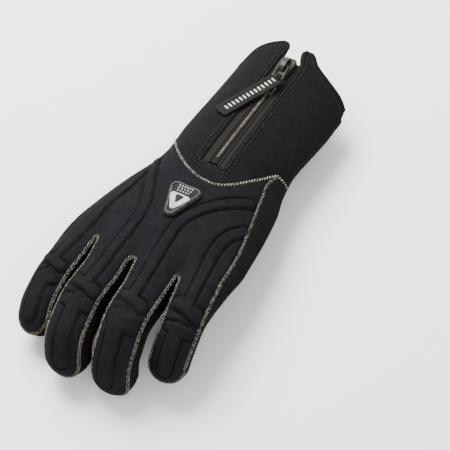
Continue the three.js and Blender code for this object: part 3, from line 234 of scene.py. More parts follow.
def outline(f, s, side, inset):
    """A finger's outline: s is 0 to 1 round the web, 1 to 2 along the side and 2 to 3 round the tip"""
    s = np.asarray(s, float)
    end = 0 if side < 0 else 1
    base, reach = f.bases[end][0], abs(f.bases[end][1])
    is_web = 0 < f.index + end < len(FINGERS)
    tip_start = f.length - f.tip_half
    half_at = lambda l: lerp(f.half, f.tip_half, np.clip(l / f.length, 0, 1))
    angle = np.minimum(s, 1) * np.pi / 2
    l = lerp(base + WEB_RADIUS * (1 - np.cos(angle)), tip_start, np.clip(s - 1, 0, 1))
    if is_web:
        flare = 0
    else:
        flare = (reach - f.half) * (1 - smooth((l - base) / FINGER_BLEND))
    c = side * (half_at(l) + flare - inset)
    if is_web:
        other = FINGERS[f.index + (1 if end else -1)]
        tilt = ((other.turn + f.turn) / 2 - f.turn) * np.cos(angle)
        web_l = base + WEB_RADIUS - (WEB_RADIUS + inset * np.cos(tilt)) * np.cos(angle)
        web_c = side * (reach - (reach - f.half + inset) * np.sin(angle)) - inset * np.sin(tilt)
        l, c = np.where(s < 1, web_l, l), np.where(s < 1, web_c, c)
    round_tip = np.clip(s - 2, 0, 1) * np.pi / 2
    tip_l = tip_start + (f.tip_half - inset) * np.sin(round_tip)
    tip_c = side * (half_at(tip_start) - inset) * np.cos(round_tip)
    return np.where(s > 2, tip_l, l), np.where(s > 2, tip_c, c)


def seam_at(p):
    """The V seam between cuff and hand, along the glove at p"""
    section = section_at(0)
    reach = np.where(p < SEAM_APEX_ACROSS, section.near, section.far) - SEAM_APEX_ACROSS
    share = np.clip((p - SEAM_APEX_ACROSS) / reach, 0, 1)
    bow = lambda at: np.hypot(at, SEAM_ROUNDING) - SEAM_ROUNDING
    return lerp(SEAM_APEX, SEAM_SIDE, bow(share) / bow(1))


BAY_START, BAY_END, BAY_DEPTH = 0.05 * PALM_LENGTH, 0.60 * PALM_LENGTH, 0.16 * HAND_WIDTH


def bay_at(q):
    """How far the palm's edge bends in where the thumb opens into the hand"""
    return BAY_DEPTH * np.sin(np.pi * np.clip((q - BAY_START) / (BAY_END - BAY_START), 0, 1))


def web_line(u, inset):
    """The line between the webs, u from 0 to 4 across the four fingers"""
    p, q = np.zeros_like(u), np.zeros_like(u)
    for f in FINGERS:
        on = np.floor(np.minimum(u, 3.999)) == f.index
        (l0, c0), (l1, c1) = outline(f, 0.0, -1, inset), outline(f, 0.0, 1, inset)
        p[on], q[on] = to_flat(f, lerp(l0, l1, u[on] - f.index), lerp(c0, c1, u[on] - f.index))
    return p, q


def hand_place(face, u, share, inset):
    """A place on the hand's sheet: u from 0 to 4 across, share 0 at the cuff's seam and 1 at the webs"""
    section = section_at(SEAM_SIDE)
    seam_p = lerp(section.near, section.far, u / 4)
    seam_q = SEAM_SIDE + 0 * u
    if face == "back":
        seam_q = seam_at(seam_p)
        section = section_at(seam_q)
        seam_p = lerp(section.near, section.far, u / 4)
        seam_q = seam_at(seam_p)
    web_p, web_q = web_line(u, inset)
    web_p = web_p + inset * ((u == 4) * 1.0 - (u == 0) * 1.0)
    q = lerp(seam_q + TRIM, web_q, share)
    start, end, here = section_at(seam_q), section_at(web_q), section_at(q)
    across = lerp((seam_p - start.near) / (start.far - start.near),
                  (web_p - end.near) / (end.far - end.near), share)
    return lerp(here.near, here.far, across) + inset * (1 - u / 2), q


FLOOR_GAP = 0.02


class Shell:
    """A sheet of cloth with an outer and an inner face of the same grid, closed round its borders"""

    def __init__(self, wall):
        self.wall, self.outer, self.inner, self.flat, self.faces, self.count = wall, [], [], [], [], 0

    def add(self, outer, inner, p, q):
        """Adds points and returns their numbers in the shape that they came in"""
        shape = outer.shape[:-1]
        outer, inner = outer.reshape(-1, 3).copy(), inner.reshape(-1, 3).copy()
        outer[:, 2] = np.maximum(outer[:, 2], FLOOR_GAP)
        inner[:, 2] = np.maximum(inner[:, 2], self.wall)
        self.outer.append(outer)
        self.inner.append(inner)
        self.flat.append(np.stack(np.broadcast_arrays(p, q), -1).reshape(-1, 2))
        numbers = np.arange(self.count, self.count + len(outer)).reshape(shape)
        self.count += len(outer)
        return numbers

    def sheet(self, grid, keep=None):
        """Adds the quads of a grid of point numbers, or those of them to keep"""
        quads = np.stack([grid[:-1, :-1], grid[:-1, 1:], grid[1:, 1:], grid[1:, :-1]], -1)
        quads = quads[keep] if keep is not None else quads.reshape(-1, 4)
        self.faces.append(quads.reshape(-1, 4))

    def fan(self, row, tip):
        """Joins the last row of a fingertip to its one end point"""
        tip = np.full(len(row) - 1, tip)
        self.faces.append(np.stack([row[:-1], row[1:], tip, tip], -1))

    def piece(self, name, material):
        """The closed shell as a Blender object with the flat pattern's coordinates as its UV map"""
        outer, inner = np.concatenate(self.outer), np.concatenate(self.inner)
        faces, flat = np.concatenate(self.faces), np.concatenate(self.flat)
        edges = np.concatenate([faces[:, [k, (k + 1) % 4]] for k in range(4)])
        edges = edges[edges[:, 0] != edges[:, 1]]
        key = edges[:, 0].astype(np.int64) * self.count + edges[:, 1]
        back = edges[:, 1].astype(np.int64) * self.count + edges[:, 0]
        rim = edges[~np.isin(key, back)]
        n = self.count
        walls = np.stack([rim[:, 1], rim[:, 0], rim[:, 0] + n, rim[:, 1] + n], -1)
        faces = np.concatenate([faces, faces[:, [3, 2, 1, 0]] + n, walls])
        points = np.concatenate([outer, inner])
        corner = points[faces]
        volume = np.einsum("ij,ij->i", corner[:, 0], np.cross(corner[:, 1], corner[:, 2])).sum()
        volume += np.einsum("ij,ij->i", corner[:, 0], np.cross(corner[:, 2], corner[:, 3])).sum()
        if volume < 0:
            faces = faces[:, ::-1]
        used, faces = np.unique(faces, return_inverse=True)
        faces = faces.reshape(-1, 4)
        points, flat = points[used], np.concatenate([flat, flat])[used]
        rows = [list(dict.fromkeys(face)) for face in faces.tolist()]
        return cloth_piece(name, points, rows, flat, material)


def cloth_piece(name, points, faces, flat, material, sharp=50):
    """A finished mesh in its place, from points in millimetres and their flat coordinates"""
    mesh = bpy.data.meshes.new(name)
    mesh.from_pydata(((points + ORIGIN) / 1000).tolist(), [], faces)
    layer = mesh.uv_layers.new(name="flat")
    corners = np.empty(len(mesh.loops), dtype=np.int32)
    mesh.loops.foreach_get("vertex_index", corners)
    layer.data.foreach_set("uv", (flat[corners] / 1000).astype(np.float32).ravel())
    mesh.materials.append(material)
    mesh.shade_smooth()
    mesh.set_sharp_from_angle(angle=np.radians(sharp))
    mesh.update()
    piece = bpy.data.objects.new(name, mesh)
    bpy.context.collection.objects.link(piece)
    return piece


def node(tree, kind, links=None, **values):
    """A shader or geometry node with its properties, and its inputs by name or number"""
    made = tree.nodes.new(kind)
    for key, value in values.items():
        setattr(made, key, value)
    for key, value in (links or {}).items():
        if isinstance(value, bpy.types.NodeSocket):
            tree.links.new(value, made.inputs[key])
        else:
            made.inputs[key].default_value = value
    return made


def new_material(name, roughness, metallic=0.0, gloss=0.5):
    """A material with its even values on the shader's own sockets"""
    material = bpy.data.materials.new(name)
    material.use_nodes = True
    shader = material.node_tree.nodes["Principled BSDF"]
    shader.inputs["Roughness"].default_value = roughness
    shader.inputs["Metallic"].default_value = metallic
    shader.inputs["Specular IOR Level"].default_value = gloss
    return material, material.node_tree, shader


def noise(tree, scale, detail):
    """Noise that is fixed to the object"""
    place = node(tree, "ShaderNodeTexCoord").outputs["Object"]
    links = {"Vector": place, "Scale": scale, "Detail": detail}
    return node(tree, "ShaderNodeTexNoise", links).outputs["Fac"]


def calc(tree, operation, *values):
    return node(tree, "ShaderNodeMath", dict(enumerate(values)), operation=operation).outputs[0]


def tint(tree, shader, factor, low, high, dark, light):
    """Colours a shader from dark to light while the factor goes from low to high"""
    ramp = node(tree, "ShaderNodeValToRGB", {"Fac": factor})
    for stop, position, colour in zip(ramp.color_ramp.elements, (low, high), (dark, light)):
        stop.position, stop.color = position, (*colour, 1)
    tree.links.new(ramp.outputs["Color"], shader.inputs["Base Color"])


def roughen(tree, shader, height, strength, distance):
    links = {"Height": height, "Strength": strength, "Distance": distance}
    tree.links.new(node(tree, "ShaderNodeBump", links).outputs["Normal"], shader.inputs["Normal"])


def jersey(name, dark, light, knit=0.7):
    """Nylon jersey on foam: a fine knit along the cut of the sheet, and a clouded colour"""
    material, tree, shader = new_material(name, 0.85, gloss=0.03)
    speckle = noise(tree, 900.0, 3.0)
    tint(tree, shader, calc(tree, "MULTIPLY", speckle, noise(tree, 160.0, 3.0)), 0.02, 0.50, dark, light)
    flat = node(tree, "ShaderNodeUVMap", uv_map="flat").outputs["UV"]
    scaled = node(tree, "ShaderNodeVectorMath", {0: flat, 1: (1000 / knit, 1000 / knit, 1)},
                  operation="MULTIPLY").outputs[0]
    wave = {"Vector": scaled, "Scale": 0.32, "Distortion": 1.2, "Detail": 1.0}
    ribs = node(tree, "ShaderNodeTexWave", {**wave, "Detail Scale": 2.0}).outputs["Fac"]
    rows = node(tree, "ShaderNodeTexWave", wave, bands_direction="Y").outputs["Fac"]
    loops = calc(tree, "MULTIPLY", ribs, rows)
    roughen(tree, shader, calc(tree, "ADD", loops, speckle), 0.35, 0.00025)
    return material


# Bones of the relief: the finger, how deep the groove round the bone is in millimetres, and rows
# down its middle line with the place along and across as shares of the longest finger and half the
# width in millimetres.
BONES = [
    (0, 1.25, [(-0.66, 0.150, 2.6), (-0.47, 0.120, 2.8), (-0.26, 0.065, 2.8), (0.00, 0.030, 2.9),
              (0.31, 0.005, 3.0)]),
    (0, 1.9, [(0.300, -0.075, 2.6), (0.322, 0.010, 2.3), (0.340, 0.085, 2.9)]),
    (0, 1.5, [(0.437, -0.070, 2.4), (0.440, 0.080, 2.9)]),
    (0, 1.25, [(0.44, 0.006, 4.6), (0.66, 0.012, 4.2)]),
    (1, 1.25, [(-0.88, -0.160, 2.6), (-0.66, -0.072, 2.8), (-0.43, 0.022, 2.8), (-0.25, 0.048, 2.8),
              (0.06, 0.030, 2.9), (0.40, 0.020, 3.0)]),
    (1, 1.9, [(0.385, -0.080, 2.8), (0.408, 0.020, 2.4), (0.425, 0.110, 3.1)]),
    (1, 1.5, [(0.512, -0.078, 2.6), (0.515, 0.108, 3.2)]),
    (1, 1.25, [(0.52, 0.022, 4.9), (0.84, 0.030, 4.4)]),
    (2, 1.25, [(-0.80, 0.340, 2.8), (-0.69, 0.215, 2.8), (-0.58, 0.115, 2.8), (-0.44, 0.025, 2.8),
              (-0.31, -0.010, 2.8), (-0.05, -0.018, 2.9), (0.35, -0.010, 3.0)]),
    (2, 1.9, [(0.335, -0.095, 2.8), (0.360, -0.005, 2.4), (0.375, 0.085, 3.1)]),
    (2, 1.5, [(0.467, -0.085, 2.6), (0.470, 0.090, 3.2)]),
    (2, 1.25, [(0.48, -0.018, 4.9), (0.80, -0.006, 4.4)]),
    (3, 1.25, [(-0.40, 0.130, 2.8), (-0.30, 0.055, 2.8), (-0.16, 0.012, 2.8), (0.08, 0.000, 2.8),
              (0.35, 0.000, 2.9)]),
    (3, 1.9, [(0.350, -0.085, 2.7), (0.367, 0.000, 2.3), (0.378, 0.085, 3.0)]),
    (3, 1.5, [(0.480, -0.078, 2.5), (0.480, 0.080, 3.0)]),
    (3, 1.25, [(0.49, -0.010, 4.4), (0.72, 0.000, 4.0)]),
]
BONE_HEIGHT, BONE_EDGE = 1.0, 0.7
GROOVE_WIDTH, GROOVE_AWAY = 0.72, 0.9
FAR = 50.0


def relief(p, q):
    """Height of the pressed bones at p, q, with the groove that runs round each of them"""
    distance = np.full(np.broadcast(p, q).shape, FAR)
    depth = np.zeros_like(distance)
    for index, bone_depth, rows in BONES:
        f = FINGERS[index]
        steps = np.linspace(0, len(rows) - 1, 6 * (len(rows) - 1) + 1)
        table = np.column_stack([np.arange(len(rows)), rows])
        along, across, half = (curve(table, k, steps) if len(rows) > 2 else
                               np.interp(steps, table[:, 0], table[:, k]) for k in (1, 2, 3))
        x, y = to_flat(f, along * FINGER_LENGTH, across * FINGER_LENGTH)
        for k in range(len(steps) - 1):
            way = np.array([x[k + 1] - x[k], y[k + 1] - y[k]])
            t = np.clip(((p - x[k]) * way[0] + (q - y[k]) * way[1]) / (way @ way), 0, 1)
            gap = np.hypot(p - x[k] - t * way[0], q - y[k] - t * way[1]) - lerp(half[k], half[k + 1], t)
            depth = np.where(gap < distance, bone_depth, depth)
            distance = np.minimum(distance, gap)
    raised = BONE_HEIGHT * smooth(0.5 - distance / (2 * BONE_EDGE))
    groove = depth * swell(distance, GROOVE_AWAY, GROOVE_WIDTH)
    return raised - groove


def edge_drop(distance, drop=0.9, reach=1.9):
    """How far a cut edge is pulled down by its seam"""
    return drop * (1 - smooth(distance / reach))


def hand_panel(face, name, material, columns, rows, side_rows, tip_rows):
    """The back or palm panel: the hand and four fingers in one sheet"""
    up, side = (1, 0) if face == "back" else (-1, 1)
    shell = Shell(HAND_WALL)
    u = np.linspace(0, 4, 4 * columns + 1)
    shares = np.linspace(0, 1, rows)
    outer = [hand_place(face, u, share, TRIM) for share in shares]
    inner = [hand_place(face, u, share, TRIM + HAND_WALL) for share in shares]
    p, q = (np.array([row[k] for row in outer]) for k in (0, 1))
    inner_p, inner_q = (np.array([row[k] for row in inner]) for k in (0, 1))
    height = hand_heights(p, q)[side]
    section = section_at(q)
    webs = np.min([np.hypot(p - web[0], q - web[1]) for web in WEBS[1:-1]], axis=0)
    edge = np.minimum(np.minimum(p - section.near, section.far - p), np.minimum(q - q[:1], webs))
    bay = bay_at(q) * (1 - u / 4) if face == "palm" else 0
    inner_bay = bay_at(inner_q) * (1 - u / 4) if face == "palm" else 0
    shape = relief(p, q) if face == "back" else 0
    top = height + shape - edge_drop(edge)
    grid = shell.add(bend_hand(p + bay, q, up * top),
                     bend_hand(inner_p + inner_bay, inner_q, up * (height - HAND_WALL)), p + bay, q)
    shell.sheet(grid)
    for f in FINGERS:
        first = grid[-1, f.index * columns:(f.index + 1) * columns + 1]
        s = np.concatenate([np.linspace(0, 1, 7)[1:], np.linspace(1, 2, side_rows)[1:],
                            np.linspace(2, 3, tip_rows)[1:]])[:, None]
        v = np.linspace(-1, 1, columns + 1)[None, :]

        def place(inset):
            left, right = outline(f, s, -1, inset), outline(f, s, 1, inset)
            return [lerp(left[k], right[k], (v + 1) / 2) for k in (0, 1)]

        (l, c), (inner_l, inner_c) = place(TRIM), place(TRIM + HAND_WALL)
        angle = np.clip(s - 2, 0, 1) * np.pi / 2
        rim = np.hypot(v * np.cos(angle), np.sin(angle))
        height = finger_heights(f, l, c, rim)[side]
        p, q = to_flat(f, l, c)
        shape = relief(p, q) if face == "back" else 0
        top = height + shape - edge_drop((1 - rim) * f.tip_half)
        fingers = shell.add(place_finger(f, l, c, up * top),
                            place_finger(f, inner_l, inner_c, up * (height - HAND_WALL)), p, q)
        shell.sheet(np.concatenate([first[None], fingers[:-1]]))
        shell.fan(fingers[-2], fingers[-1, 0])
    return shell.piece(name, material)


black_jersey = jersey("black jersey", (0.0050, 0.0051, 0.0059), (0.0112, 0.0114, 0.0129))
back = hand_panel("back", "back_of_hand", black_jersey, columns=34, rows=104,
                  side_rows=100, tip_rows=22)
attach(back, "root")
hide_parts("back_panel")

# The palm panel: the inside of the hand and of four fingers in one sheet, like the back. Its edge
# bends in where the thumb joins. Rows of short silicone dashes are printed on it for grip.
DASH_ROW, DASH_MARGIN = 4.0, 4.0


def row_tree(name, shape):
    """A node tree that sets small shapes along the edges of a mesh, turned to its 'out' directions"""
    tree = bpy.data.node_groups.new(name, "GeometryNodeTree")
    sockets = tree.interface
    sockets.new_socket("Geometry", in_out="INPUT", socket_type="NodeSocketGeometry")
    for label in ("Step", "Length", "Width", "Height", "Lean", "Jitter"):
        sockets.new_socket(label, in_out="INPUT", socket_type="NodeSocketFloat")
    sockets.new_socket("Seed", in_out="INPUT", socket_type="NodeSocketInt")
    sockets.new_socket("Material", in_out="INPUT", socket_type="NodeSocketMaterial")
    sockets.new_socket("Geometry", in_out="OUTPUT", socket_type="NodeSocketGeometry")
    given = node(tree, "NodeGroupInput").outputs
    line = node(tree, "GeometryNodeMeshToCurve", {"Mesh": given["Geometry"]})
    even = node(tree, "GeometryNodeResampleCurve", {"Curve": line.outputs[0], "Length": given["Step"]},
                mode="LENGTH")
    out = node(tree, "GeometryNodeInputNamedAttribute", {"Name": "out"}, data_type="FLOAT_VECTOR")
    along = node(tree, "FunctionNodeAlignRotationToVector",
                 {"Vector": node(tree, "GeometryNodeInputTangent").outputs[0]}, axis="X")
    level = node(tree, "FunctionNodeAlignRotationToVector",
                 {"Rotation": along.outputs[0], "Vector": out.outputs[0]}, axis="Z", pivot_axis="X")
    number = node(tree, "GeometryNodeInputIndex").outputs[0]
    spread = node(tree, "FunctionNodeRandomValue", {2: -1.0, 3: 1.0, "ID": number,
                  "Seed": given["Seed"]}, data_type="FLOAT")
    angle = calc(tree, "MULTIPLY_ADD", spread.outputs[1], given["Jitter"], given["Lean"])
    turn = node(tree, "FunctionNodeAxisAngleToRotation", {"Axis": (0, 0, 1), "Angle": angle})
    turned = node(tree, "FunctionNodeRotateRotation",
                  {"Rotation": level.outputs[0], "Rotate By": turn.outputs[0]}, rotation_space="LOCAL")
    size = node(tree, "ShaderNodeCombineXYZ", {0: given["Length"], 1: given["Width"], 2: given["Height"]})
    if shape == "thread":
        one = node(tree, "GeometryNodeMeshUVSphere", {"Segments": 6, "Rings": 4, "Radius": 0.5})
    else:
        cube = node(tree, "GeometryNodeMeshCube", {"Size": (1, 1, 1)})
        one = node(tree, "GeometryNodeSubdivisionSurface", {"Mesh": cube.outputs["Mesh"], "Level": 1,
                   "Edge Crease": 0.75, "Vertex Crease": 0.5})
    soft = node(tree, "GeometryNodeSetShadeSmooth", {"Geometry": one.outputs["Mesh"]})
    copies = node(tree, "GeometryNodeInstanceOnPoints", {"Points": even.outputs[0],
                  "Instance": soft.outputs[0], "Rotation": turned.outputs[0], "Scale": size.outputs[0]})
    real = node(tree, "GeometryNodeRealizeInstances", {"Geometry": copies.outputs[0]})
    done = node(tree, "GeometryNodeSetMaterial", {"Geometry": real.outputs[0],
                "Material": given["Material"]})
    node(tree, "NodeGroupOutput", {"Geometry": done.outputs[0]})
    return tree


def press_flat(mesh):
    """Flattens what would reach into the floor that the glove lies on"""
    points = np.empty(3 * len(mesh.vertices), dtype=np.float32)
    mesh.vertices.foreach_get("co", points)
    points[2::3] = np.maximum(points[2::3], 0.00001)
    mesh.vertices.foreach_set("co", points)
    mesh.update()


def set_along(name, tree, paths, material, seed, jitter=0.0, **sizes):
    """Runs a row tree on paths of (points, out directions), in millimetres, and keeps the plain mesh"""
    points = np.concatenate([path[0] for path in paths])
    out = np.concatenate([path[1] for path in paths])
    starts = np.cumsum([0] + [len(path[0]) for path in paths])
    edges = [(k, k + 1) for a, b in zip(starts[:-1], starts[1:]) for k in range(a, b - 1)]
    mesh = bpy.data.meshes.new(name)
    mesh.from_pydata(((points + ORIGIN) / 1000).tolist(), edges, [])
    layer = mesh.attributes.new("out", "FLOAT_VECTOR", "POINT")
    layer.data.foreach_set("vector", out.astype(np.float32).ravel())
    piece = bpy.data.objects.new(name, mesh)
    bpy.context.collection.objects.link(piece)
    modifier = piece.modifiers.new("row", "NODES")
    modifier.node_group = tree
    given = {"Step": sizes["step"] / 1000, "Length": sizes["length"] / 1000,
             "Width": sizes["width"] / 1000, "Height": sizes["height"] / 1000,
             "Lean": float(np.radians(sizes.get("lean", 0))), "Jitter": float(np.radians(jitter)),
             "Seed": seed, "Material": material}
    for socket in tree.interface.items_tree:
        if socket.in_out == "INPUT" and socket.name in given:
            modifier[socket.identifier] = given[socket.name]
    evaluated = piece.evaluated_get(bpy.context.evaluated_depsgraph_get())
    piece.data = bpy.data.meshes.new_from_object(evaluated)
    press_flat(piece.data)
    piece.modifiers.clear()
    bpy.data.meshes.remove(mesh)
    return piece


def silicone(name, light):
    """Printed silicone: pale, slightly glossy, with a little dust in its colour"""
    material, tree, shader = new_material(name, 0.48, gloss=0.3)
    dust = noise(tree, 500.0, 3.0)
    tint(tree, shader, dust, 0.35, 0.65, 0.62 * np.array(light), light)
    roughen(tree, shader, dust, 0.2, 0.0002)
    return material


def with_normals(place, step=0.5):
    """Points of place(across shift, along shift), and their directions out of the sheet"""
    point = place(0, 0)
    out = np.cross(place(0, step) - point, place(step, 0) - point)
    return point, unit(out)


palm_jersey = jersey("palm jersey", (0.0065, 0.0065, 0.0075), (0.0165, 0.0165, 0.018), knit=0.9)
palm = hand_panel("palm", "palm_of_hand", palm_jersey, columns=24, rows=70,
                  side_rows=70, tip_rows=16)
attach(palm, "root")
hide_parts("palm_panel")


def palm_rows():
    """Lines across the palm and the fingers on which the grip dashes lie"""
    for q in np.arange(-2, 84, DASH_ROW):
        side = section_at(q)
        start = side.near + DASH_MARGIN + bay_at(q)
        p = np.linspace(start, side.far - DASH_MARGIN, 70)
        yield with_normals(lambda dp, dq: bend_hand(
            p + dp, q + dq + 0 * p, -hand_heights(p + dp, q + dq + 0 * p)[1]))
    for f in FINGERS:
        for l in np.arange(4, f.length - 8, DASH_ROW):
            half = lerp(f.half, f.tip_half, l / f.length)
            past = max(l - (f.length - f.tip_half), 0)
            half = half * np.sqrt(max(1 - (past / f.tip_half) ** 2, 0)) - DASH_MARGIN
            if half > 2:
                c = np.linspace(-half, half, 24)
                yield with_normals(lambda dc, dl: place_finger(
                    f, l + dl + 0 * c, c + dc, -finger_heights(
                        f, l + dl + 0 * c, c + dc, np.abs(c + dc) / f.half)[1]))


def outward_down(path):
    """A path with its directions turned down, out of the palm"""
    point, out = path
    return point, out * -np.sign((out[:, 2:3]).sum())


grip = silicone("grip print", (0.21, 0.21, 0.20))
thread_row = row_tree("Row of threads", "thread")
dashes = set_along("palm_grip_dashes", thread_row, [outward_down(path) for path in palm_rows()], grip,
                   seed=3, step=4.6, length=3.0, width=0.75, height=0.5)
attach(dashes, "root")

# The side strips: one runs round each finger between back and palm, and the outer two go on down the
# hand to the cuff. The same foam and jersey, with a plainer face.
FINGER_BULGE = 1.3
SEAM_GAP = 0.3


def strip_stations(f):
    """Flat place, direction out, bulge and heights of the strip's line, in order round the finger"""
    rows = []

    def hand_rows(u, side):
        share = np.linspace(0, 1, 100)[:-1]
        p, q = np.array([hand_place("palm", np.array([float(u)]), s, 0) for s in share])[:, :, 0].T
        bulge = section_at(q).far_bulge if side > 0 else section_at(q).near_bulge
        back, palm = hand_heights(p, q)
        return [("hand", side, p[k], q[k], 0, 0, bulge[k], back[k], palm[k]) for k in range(len(p))]

    def finger_rows(side):
        s = np.concatenate([np.linspace(0, 1, 9), np.linspace(1, 2, 90)[1:], np.linspace(2, 3, 20)[1:]])
        l, c = outline(f, s, side, 0)
        inner_l, inner_c = outline(f, s, side, 1)
        end = 0 if side < 0 else 1
        web = 0 < f.index + end < len(FINGERS)
        section = section_at(WEBS[f.index + end][1])
        root = 0 if web else float(section.far_bulge if side > 0 else section.near_bulge)
        bulge = lerp(root, FINGER_BULGE, smooth((l - f.bases[end][0]) / (2.5 * FINGER_BLEND)))
        back, palm = finger_heights(f, l, c, 1)
        c = c - (side * SEAM_GAP / 2 * np.maximum(1 - 3 * s, 0) if web else 0)
        return [("finger", side, l[k], c[k], l[k] - inner_l[k], c[k] - inner_c[k], bulge[k], back[k],
                 palm[k]) for k in range(len(s))]

    if f.index == 0:
        rows += hand_rows(0, -1)
    rows += finger_rows(-1) + finger_rows(1)[-2::-1]
    if f.index == 3:
        rows += hand_rows(4, 1)[::-1]
    return rows


def strip_place(f, rows, inset, height):
    """Places at an inset from the strip's line and a height, one row for each station"""
    values = np.array([row[1:] for row in rows], float)
    side, first, second, n_first, n_second = (values[:, k, None] for k in range(5))
    on_hand = bend_hand(first - side * inset, second, height)
    on_finger = place_finger(f, first - inset * n_first, second - inset * n_second, height)
    is_hand = np.array([row[0] == "hand" for row in rows])[:, None, None]
    return np.where(is_hand, on_hand, on_finger)


strip_jersey = jersey("strip jersey", (0.0036, 0.0036, 0.0040), (0.0095, 0.0094, 0.0100), knit=0.8)
strip_rows = {f.index: strip_stations(f) for f in FINGERS}
for f in FINGERS:
    rows = strip_rows[f.index]
    shell = Shell(HAND_WALL)
    step = np.sin(np.linspace(-1, 1, 19) * np.pi / 2)[None, :]
    bulge, top, low = (np.array([row[k] for row in rows])[:, None] for k in (6, 7, 8))
    stand = bulge * (1 - step ** 2)
    drop = edge_drop((1 - np.abs(step)) * (top + low) / 2, 0.7, 1.6)
    level = lerp(-low + TRIM, top - TRIM, (step + 1) / 2)
    inner_level = lerp(-low + TRIM + HAND_WALL, top - TRIM - HAND_WALL, (step + 1) / 2)
    outer = strip_place(f, rows, drop - stand, level)
    inner = strip_place(f, rows, HAND_WALL - stand, inner_level)
    flat = np.cumsum(np.linalg.norm(np.diff(outer[:, 9], axis=0, prepend=outer[:1, 9]), axis=1))
    shell.sheet(shell.add(outer, inner, flat[:, None] + 0 * step, level))
    strip = shell.piece(f"{f.name}_finger_strip", strip_jersey)
    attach(strip, "root")
    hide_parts(f"{f.name}_side_strip")

# The thumb: a pouch of two panels, folded under the palm. Its back lies on the floor and its front
# against the palm. Its mouth joins the bay in the palm's edge and the edge of the side strip.
#
# Its own frame has a along it from its root and b across it toward the index finger.
THUMB_LENGTH = 0.97 * FINGER_LENGTH
THUMB_ROOT = np.array([-0.40 * HAND_WIDTH, 0.31 * PALM_LENGTH])
THUMB_TURN = np.radians(34)
THUMB_HALF, THUMB_TIP = 0.245 * FINGER_LENGTH, 0.185 * FINGER_LENGTH
THUMB_SEAM, THUMB_POWER, THUMB_WIDENING = 0.58, 3.2, 0.4
MOUTH_START, MOUTH_END = 0.115 * PALM_LENGTH, 0.53 * PALM_LENGTH
MOUTH_DROP, MOUTH_CORNER = 2 * HAND_WALL, 5.0
LYING_GAP, FLOOR_PRESS, PANEL_GAP = 0.8, 1.4, 0.24


def thumb_to_flat(a, b):
    """From a along and b across the thumb to p, q"""
    cos, sin = np.cos(THUMB_TURN), np.sin(THUMB_TURN)
    return THUMB_ROOT[0] + a * cos - b * sin, THUMB_ROOT[1] + a * sin + b * cos


def thumb_place(panel, s, v, inset):
    """A place in the thumb's frame: s is 0 to 1 from the mouth and 1 to 2 round the tip"""
    q = lerp(MOUTH_START, MOUTH_END, (v + 1) / 2)
    side = section_at(q).near + PANEL_GAP + (bay_at(q) if panel == "upper" else 0)
    cos, sin = np.cos(THUMB_TURN), np.sin(THUMB_TURN)
    dp, dq = side - THUMB_ROOT[0], q - THUMB_ROOT[1]
    start_a = dp * cos + dq * sin + (MOUTH_CORNER * v ** 4 if panel == "upper" else 0)
    start_b = dq * cos - dp * sin
    end = THUMB_LENGTH - THUMB_TIP
    share, angle = np.minimum(s, 1), np.clip(s - 1, 0, 1) * np.pi / 2
    half = lerp(THUMB_HALF, THUMB_TIP, smooth(share))
    b = lerp(start_b, v * half, smooth(share / THUMB_WIDENING)) - v * inset
    a = lerp(start_a, end, share)
    tip_a, tip_b = end + (THUMB_TIP - inset) * np.sin(angle), v * (THUMB_TIP - inset) * np.cos(angle)
    rim = np.where(s > 1, np.hypot(v * np.cos(angle), np.sin(angle)), np.abs(v))
    left = np.where(s > 1, THUMB_LENGTH, share * (end - start_a))
    return np.where(s > 1, tip_a, a), np.where(s > 1, tip_b, b), rim, left


def thumb_faces(panel, s, v):
    """Outer and inner points of a thumb panel, and its flat place"""
    a, b, rim, left = thumb_place(panel, s, v, 0)
    inner_a, inner_b, _, _ = thumb_place(panel, s, v, HAND_WALL)
    p, q = thumb_to_flat(a, b)
    palm = hand_heights(p, q)[1]
    top = -palm - lerp(PANEL_GAP, LYING_GAP, np.minimum(s / 0.035, 1))
    depth = bend_hand(p, q, top)[..., 2] + FLOOR_PRESS
    dome = 1 - rim ** THUMB_POWER
    seam = top - THUMB_SEAM * depth
    corner = HAND_WALL * (1 - rim ** (2 * THUMB_POWER))
    inner_p, inner_q = thumb_to_flat(inner_a, inner_b)
    if panel == "upper":
        height = lerp(seam + PANEL_GAP, top, dome)
        return bend_hand(p, q, height), bend_hand(inner_p, inner_q, height - corner), p, q
    drop = np.sin(np.minimum(left / MOUTH_DROP, 1) * np.pi / 2)
    height = lerp(-palm, lerp(seam - PANEL_GAP, top - depth, dome), drop)
    wall = lerp(HAND_WALL, corner, drop)
    ahead_p, ahead_q = thumb_to_flat(inner_a + HAND_WALL * (1 - drop), lerp(b, inner_b, drop))
    return bend_hand(p, q, height), bend_hand(ahead_p, ahead_q, height + wall), p, q


for panel, name, node_name, slot, cloth in (
        ("lower", "back_of_thumb", "thumb_back", "neoprene_strip", strip_jersey),
        ("upper", "front_of_thumb", "thumb_front", "neoprene_palm", palm_jersey)):
    shell = Shell(HAND_WALL)
    v = np.sin(np.linspace(-1, 1, 45) * np.pi / 2)[None, :]
    s = np.concatenate([np.linspace(0, 0.1, 9), np.linspace(0.1, 1, 60)[1:],
                        np.linspace(1, 2, 19)[1:]])[:, None]
    grid = shell.add(*thumb_faces(panel, s, v + 0 * s))
    shell.sheet(grid[:-1])
    shell.fan(grid[-2], grid[-1, 0])
    thumb = shell.piece(name, cloth)
    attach(thumb, "root")
    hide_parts(node_name)

